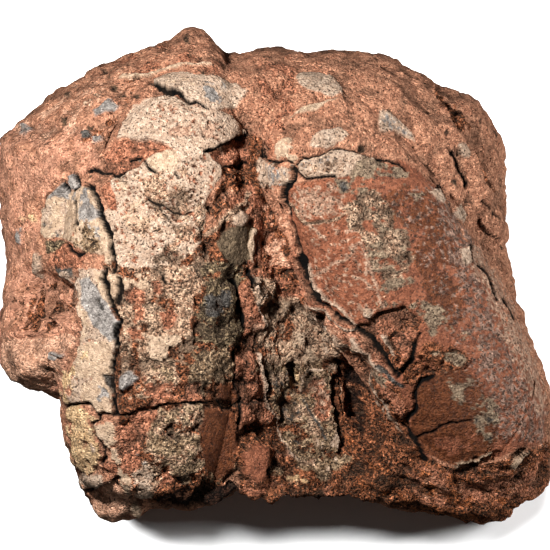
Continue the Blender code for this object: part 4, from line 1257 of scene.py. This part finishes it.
def weather(points, piece, hidden):
    """Push a skin's points in and out by their finishes, and give the attributes to paint with."""
    normals = grid_normals(points)
    shares, lift = paint(points, normals, piece)
    field = dict(zip(Finish._fields, [0.0] * len(Finish._fields)))
    for name, share in shares.items():
        finish = FINISHES[name]
        for label in ("pits", "rise", "relief", "rough"):
            field[label] = field[label] + share * getattr(finish, label)
        for label in ("light", "dark"):
            field[label] = field[label] + share[..., None] * linear(getattr(finish, label))
    bumps = relief(points)
    height = field["rise"] + bumps * field["relief"] + lift
    points = points + normals * (height * (1.0 - hidden))[..., None]
    # Painted shade: the relief's low places are darkened in the shader as though shade lay in them
    hollow_shade = smooth_step(-bumps, 0.1, 1.1) * np.clip(field["relief"], 0.0, 1.0)
    return points, {
        "light": field["light"],
        "dark": field["dark"],
        "pits": field["pits"],
        "rough": field["rough"],
        "hollow_shade": hollow_shade,
        "relief": field["relief"],
    }


# ---------------------------------------------------------------- meshes


def add_attribute(mesh, label, spread):
    """Give each vertex a number, or a colour where there are three numbers for each."""
    if spread.ndim == 1:
        mesh.attributes.new(label, "FLOAT", "POINT").data.foreach_set("value", spread)
        return
    opaque = np.concatenate([spread, np.ones((len(spread), 1), dtype=np.float32)], axis=1)
    colours = mesh.attributes.new(label, "FLOAT_COLOR", "POINT")
    colours.data.foreach_set("color", opaque.ravel())


def closed_skin(name, points, attributes):
    """A mesh object from a grid of face points: rows from pole to pole, columns closed round.

    The first and last rows are single points, repeated along the row.
    """
    rows, columns = points.shape[:2]
    points = points.copy()
    points[0], points[-1] = points[0].mean(axis=0), points[-1].mean(axis=0)
    places = to_world(points)
    places[..., 2] = np.maximum(places[..., 2], 0.0)
    body = places[1:-1].reshape(-1, 3)
    vertices = np.concatenate([places[0, :1], body, places[-1, :1]])
    ring = np.arange(columns)
    following = (ring + 1) % columns
    starts = 1 + np.arange(rows - 3)[:, None] * columns
    quads = np.stack(
        [
            starts + ring,
            starts + columns + ring,
            starts + columns + following,
            starts + following,
        ],
        axis=-1,
    ).reshape(-1, 4)
    last = len(vertices) - 1
    foot = 1 + (rows - 3) * columns
    first_fan = np.stack([np.zeros(columns, dtype=int), 1 + ring, 1 + following], axis=1)
    last_fan = np.stack([np.full(columns, last), foot + following, foot + ring], axis=1)
    fans = np.concatenate([first_fan, last_fan])
    corners = np.concatenate([quads.ravel(), fans.ravel()])
    sizes = np.concatenate([np.full(len(quads), 4), np.full(len(fans), 3)])
    mesh = bpy.data.meshes.new(name)
    mesh.vertices.add(len(vertices))
    mesh.vertices.foreach_set("co", vertices.astype(np.float32).ravel())
    mesh.loops.add(len(corners))
    mesh.loops.foreach_set("vertex_index", corners.astype(np.int32))
    mesh.polygons.add(len(sizes))
    mesh.polygons.foreach_set("loop_start", np.cumsum(np.concatenate([[0], sizes[:-1]])))
    mesh.update(calc_edges=True)
    mesh.shade_smooth()
    for label, values in attributes.items():
        inner = values[1:-1].reshape(-1, *values.shape[2:])
        spread = np.concatenate([values[0, :1], inner, values[-1, :1]]).astype(np.float32)
        add_attribute(mesh, label, spread)
    piece = bpy.data.objects.new(name, mesh)
    bpy.context.scene.collection.objects.link(piece)
    return piece


def spaced_rows(density, count):
    """Row positions from 0 to 1 for each column, closest where density is high."""
    samples = np.linspace(0.0, 1.0, density.shape[0])
    total = np.cumsum(density, axis=0)
    total = (total - total[:1]) / (total[-1:] - total[:1])
    share = np.linspace(0.0, 1.0, count)
    return np.stack([np.interp(share, column, samples) for column in total.T], axis=1)


def build_block():
    """The sandstone block as one skin: front sheet, rim, back sheet and flat underside."""
    angle = np.linspace(0.0, 2.0 * math.pi, BLOCK_COLUMNS, endpoint=False)
    trial_slant, trial_angle = np.meshgrid(np.linspace(0.0, 1.0, BLOCK_TRIAL_ROWS), angle, indexing="ij")
    _, hidden = block_points(trial_slant, trial_angle, True)
    closeness = MIDDLE_CLOSENESS + (1.0 - MIDDLE_CLOSENESS) * trial_slant
    density = (1.0 - HIDDEN_THINNING * hidden) * closeness
    slant = spaced_rows(density, BLOCK_FRONT_ROWS)
    turns = np.broadcast_to(angle, slant.shape)
    front, hidden = block_points(slant, turns, True)
    back_share = np.linspace(0.0, 1.0, BLOCK_BACK_ROWS + 1)[1:, None]
    back_slant = np.cos(back_share * math.pi / 2.0) + np.zeros(BLOCK_COLUMNS)
    back, shown = block_points(back_slant, angle + np.zeros(back_slant.shape), False)
    points, labels = weather(np.concatenate([front, back]), "matrix", np.concatenate([hidden, shown]))
    return closed_skin("matrix_rock", points, labels)


def even_steps(density, count):
    """Positions from 0 to 1 that cut a sampled density into parts of equal weight."""
    total = np.concatenate([[0.0], np.cumsum(density)])
    return np.interp(np.linspace(0.0, total[-1], count + 1), total, np.linspace(0.0, 1.0, len(total)))


def build_egg(name, egg):
    """One egg as one skin: rings an even way apart, and columns crowded where it faces out."""
    trial = np.linspace(-1.0, 1.0, EGG_TRIAL_STEPS)
    run = np.hypot(np.diff(trial) * egg.half_length, np.diff(end_taper(egg, trial)) * egg.half_width)
    along = even_steps(run, egg.rings) * 2.0 - 1.0
    lap = (np.arange(EGG_TRIAL_TURNS) + 0.5) / EGG_TRIAL_TURNS * 2.0 * math.pi
    front = smooth_step(-np.cos(lap), *EGG_FRONT_EDGE)
    crowding = EGG_BACK_CLOSENESS + (1.0 - EGG_BACK_CLOSENESS) * front
    share = even_steps(crowding, egg.segments)[:-1]
    turns, lengths = np.meshgrid(-math.pi / 2.0 - share * 2.0 * math.pi, along)
    points = egg_points(egg, lengths, turns)
    points, labels = weather(points, name, np.zeros(turns.shape))
    return closed_skin(name + "_skin", points, labels)


# ---------------------------------------------------------------- materials


class Wire:
    """A shader socket that takes part in sums and products as a plain value."""

    def __init__(self, socket):
        self.socket = socket

    def maths(self, operation, *terms):
        shading = Shading(self.socket.id_data)
        node = shading.node("ShaderNodeMath", {"operation": operation}, dict(enumerate(terms)))
        return Wire(node.outputs[0])

    def __add__(self, other):
        return self.maths("ADD", self, other)

    def __radd__(self, other):
        return self.maths("ADD", other, self)

    def __sub__(self, other):
        return self.maths("SUBTRACT", self, other)

    def __rsub__(self, other):
        return self.maths("SUBTRACT", other, self)

    def __mul__(self, other):
        return self.maths("MULTIPLY", self, other)

    def __rmul__(self, other):
        return self.maths("MULTIPLY", other, self)

    def between(self, start, end):
        """0 below start, 1 above end, and an S-curve between them."""
        shading = Shading(self.socket.id_data)
        node = shading.node(
            "ShaderNodeMapRange",
            {"interpolation_type": "SMOOTHSTEP"},
            {"Value": self, "From Min": start, "From Max": end},
        )
        return Wire(node.outputs["Result"])


class Shading:
    """Adds nodes to one material's tree."""

    def __init__(self, tree):
        self.tree = tree

    def node(self, kind, settings=None, values=None):
        """A node of a kind: its settings are made first, then its sockets are set or linked."""
        made = self.tree.nodes.new(kind)
        for label, setting in (settings or {}).items():
            setattr(made, label, setting)
        for label, value in (values or {}).items():
            if isinstance(value, Wire):
                self.tree.links.new(value.socket, made.inputs[label])
            else:
                made.inputs[label].default_value = value
        return made

    def attribute(self, label, output):
        return Wire(self.node("ShaderNodeAttribute", {"attribute_name": label}).outputs[output])

    def mix(self, share, first, second, blend="MIX"):
        """A colour between two others."""
        made = self.node(
            "ShaderNodeMix",
            {"data_type": "RGBA", "blend_type": blend},
            {0: share, 6: first, 7: second},
        )
        return Wire(made.outputs[2])

    def grey(self, level):
        """A grey colour of the given level."""
        values = {"Red": level, "Green": level, "Blue": level}
        return Wire(self.node("ShaderNodeCombineColor", {}, values).outputs[0])

    def cloud(self, place, size, detail=3.0, roughness=0.55):
        """Noise about 0.5 whose lumps are size metres across."""
        values = {"Vector": place, "Scale": 1.0 / size, "Detail": detail, "Roughness": roughness}
        return Wire(self.node("ShaderNodeTexNoise", {}, values).outputs["Fac"])

    def cells(self, place, size):
        """Distance to the nearest of scattered spots size metres apart, and a number for each."""
        made = self.node("ShaderNodeTexVoronoi", {}, {"Vector": place, "Scale": 1.0 / size})
        split = self.node("ShaderNodeSeparateColor", {}, {"Color": Wire(made.outputs["Color"])})
        return Wire(made.outputs["Distance"]), Wire(split.outputs[0])


# Sizes of the stone's grain, in metres
PATCHY_SIZE = 0.009
MOTTLE_SIZE = 0.0032
CRUMB_SIZE = 0.0013
GRAIN_SIZE = 0.001
BIT_SIZE = 0.00055
BUMP_HEIGHT = 0.0022

# The colour of the dark pits, also used for the painted shade in the relief's low places
PIT_AND_SHADE_COLOUR = (0.045, 0.028, 0.018, 1.0)
PIT_STRENGTH = 0.85
HOLLOW_SHADE_STRENGTH = 0.7
SHINE = 0.12
BRIGHTNESS = 0.98


def stone_finish(name):
    """Stone in two mottled tones, with dark pits, a fine grain and painted shade in the low places of
    its relief, from the skin's attributes.
    """
    material = bpy.data.materials.new(name)
    material.use_nodes = True
    shading = Shading(material.node_tree)
    shader = material.node_tree.nodes["Principled BSDF"]
    place = Wire(shading.node("ShaderNodeTexCoord").outputs["Object"])
    light, dark = shading.attribute("light", "Color"), shading.attribute("dark", "Color")
    pits, rough = shading.attribute("pits", "Fac"), shading.attribute("rough", "Fac")
    hollow_shade, relief_share = shading.attribute("hollow_shade", "Fac"), shading.attribute("relief", "Fac")

    mottle = shading.cloud(place, MOTTLE_SIZE, 4.0, 0.7)
    grain = shading.cloud(place, GRAIN_SIZE, 1.0, 0.5)
    patchy = shading.cloud(place, PATCHY_SIZE, 2.0)
    bit_gap, bit_number = shading.cells(place, BIT_SIZE)
    crumb_gap, crumb_number = shading.cells(place, CRUMB_SIZE)
    colour = shading.mix((mottle + 0.3 * (crumb_number - 0.5)).between(0.34, 0.66), dark, light)
    pit = (0.3 + 0.2 * pits * (0.4 + 1.2 * patchy) - 0.8 * grain - 0.2 * bit_gap).between(0.0, 0.05)
    colour = shading.mix(PIT_STRENGTH * pit, colour, PIT_AND_SHADE_COLOUR)
    # Painted shade in the low places of the relief
    colour = shading.mix(HOLLOW_SHADE_STRENGTH * hollow_shade, colour, PIT_AND_SHADE_COLOUR)
    specks = 0.8 * bit_number.between(0.9, 0.97) - 0.4 * (1.0 - bit_number).between(0.86, 0.93)
    flecks = 0.36 * bit_number + 0.3 * crumb_number + specks - 0.32
    shade = BRIGHTNESS + (0.45 + 0.75 * relief_share) * flecks
    colour = shading.mix(1.0, colour, shading.grey(shade), "MULTIPLY")
    material.node_tree.links.new(colour.socket, shader.inputs["Base Color"])
    material.node_tree.links.new(rough.socket, shader.inputs["Roughness"])
    shader.inputs["Specular IOR Level"].default_value = SHINE

    fine = 0.8 * grain - 0.45 * bit_gap + 0.25 * bit_number
    coarse = 0.35 * mottle - 0.5 * crumb_gap + 0.25 * crumb_number
    height = (0.3 + 0.4 * relief_share) * fine + (0.06 + 0.6 * relief_share) * coarse - 0.3 * pit
    values = {"Height": height, "Distance": BUMP_HEIGHT, "Strength": 1.0}
    bump = shading.node("ShaderNodeBump", {}, values)
    material.node_tree.links.new(bump.outputs["Normal"], shader.inputs["Normal"])
    return material


# ---------------------------------------------------------------- stage


SENSOR_WIDTH = 36.0  # mm
FLOOR_HALF = 4.0  # metres from the floor's middle to its edge
FLOOR_COLOUR = (0.9, 0.9, 0.9, 1.0)
FLOOR_ROUGHNESS = 0.9
SKY_COLOUR = (1.0, 1.0, 1.0, 1.0)
SKY_STRENGTH = 0.05

# Direction from the face's middle as U, V and D, then distance and size in mm, and energy
Lamp = namedtuple("Lamp", "name direction distance size energy")
STONE_LAMPS = [
    Lamp("key", (-0.36, 0.30, 0.88), 380.0, 50.0, 2.75),
    Lamp("fill", (0.96, 0.1, 0.16), 700.0, 260.0, 4.6),
    Lamp("low", (-0.4, -0.8, 0.4), 600.0, 200.0, 1.1),
    Lamp("back", (-0.3, 0.5, -0.8), 800.0, 300.0, 3.0),
]
FLOOR_LAMPS = [
    Lamp("floor_above", (0.0, 0.53, 0.86), 1500.0, 600.0, 37.0),
    Lamp("floor_left", (-0.8, 0.3, 0.4), 1500.0, 500.0, 72.0),
    Lamp("floor_right", (0.8, 0.3, 0.4), 1500.0, 700.0, 30.0),
]


def face_axes():
    """World directions of U, V and D, as rows."""
    sine, cosine = math.sin(FACE_LOOKS_UP), math.cos(FACE_LOOKS_UP)
    return np.array([[1.0, 0.0, 0.0], [0.0, sine, cosine], [0.0, -cosine, sine]])


def add_lamp(plan, targets):
    """A round soft lamp that lights only its targets."""
    light = bpy.data.lights.new(plan.name, "AREA")
    light.shape = "DISK"
    light.size = plan.size * MM
    light.energy = plan.energy
    lamp = bpy.data.objects.new(plan.name, light)
    unit = np.array(plan.direction) / np.linalg.norm(plan.direction)
    place = Vector((FACE_ORIGIN + (unit * plan.distance) @ face_axes()) * MM)
    lamp.location = place
    lamp.rotation_euler = (Vector(FACE_ORIGIN * MM) - place).to_track_quat("-Z", "Y").to_euler()
    bpy.context.scene.collection.objects.link(lamp)
    lit = bpy.data.collections.new(plan.name + "_lights")
    for target in targets:
        lit.objects.link(target)
    lamp.light_linking.receiver_collection = lit


def build_camera():
    """A camera that looks straight at the broken face."""
    lens = bpy.data.cameras.new("camera")
    lens.sensor_width = SENSOR_WIDTH
    lens.lens = lens.sensor_width * SIGHT_DISTANCE / (2.0 * GRID_MIDDLE * GRID_STEP)
    camera = bpy.data.objects.new("camera", lens)
    axes = face_axes()
    stand = np.eye(4)
    stand[:3, :3] = axes.T
    stand[:3, 3] = (FACE_ORIGIN + axes[2] * SIGHT_DISTANCE) * MM
    camera.matrix_world = Matrix(stand.tolist())
    bpy.context.scene.collection.objects.link(camera)
    bpy.context.scene.camera = camera


def build_floor():
    """A wide plain white floor."""
    half = FLOOR_HALF
    mesh = bpy.data.meshes.new("floor")
    corners = [(-half, -half, 0.0), (half, -half, 0.0), (half, half, 0.0), (-half, half, 0.0)]
    mesh.from_pydata(corners, [], [(0, 1, 2, 3)])
    material = bpy.data.materials.new("floor_white")
    material.use_nodes = True
    shader = material.node_tree.nodes["Principled BSDF"]
    shader.inputs["Base Color"].default_value = FLOOR_COLOUR
    shader.inputs["Roughness"].default_value = FLOOR_ROUGHNESS
    mesh.materials.append(material)
    floor = bpy.data.objects.new("floor", mesh)
    floor.visible_diffuse = False
    floor.visible_glossy = False
    bpy.context.scene.collection.objects.link(floor)
    return floor


def build_world():
    """A faint even white light from all round."""
    world = bpy.data.worlds.new("studio")
    world.use_nodes = True
    background = world.node_tree.nodes["Background"]
    background.inputs["Color"].default_value = SKY_COLOUR
    background.inputs["Strength"].default_value = SKY_STRENGTH
    bpy.context.scene.world = world
    bpy.context.scene.view_settings.view_transform = "Standard"


SLOTS = {
    "matrix": "sandstone",
    "egg_left": "eggshell_pale",
    "egg_right": "eggshell_brown",
    "egg_middle": "eggshell_crusted",
}


def main():
    """Build the skins, give each its finish and its place, and set the stage."""
    skins = {"matrix": build_block()}
    for name, egg in EGGS.items():
        skins[name] = build_egg(name, egg)
    for name, skin in skins.items():
        skin.data.materials.append(stone_finish(SLOTS[name]))
        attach(skin, "root")
        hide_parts(name)
    build_camera()
    build_world()
    floor = build_floor()
    for plan in STONE_LAMPS:
        add_lamp(plan, list(skins.values()))
    for plan in FLOOR_LAMPS:
        add_lamp(plan, [floor])


main()
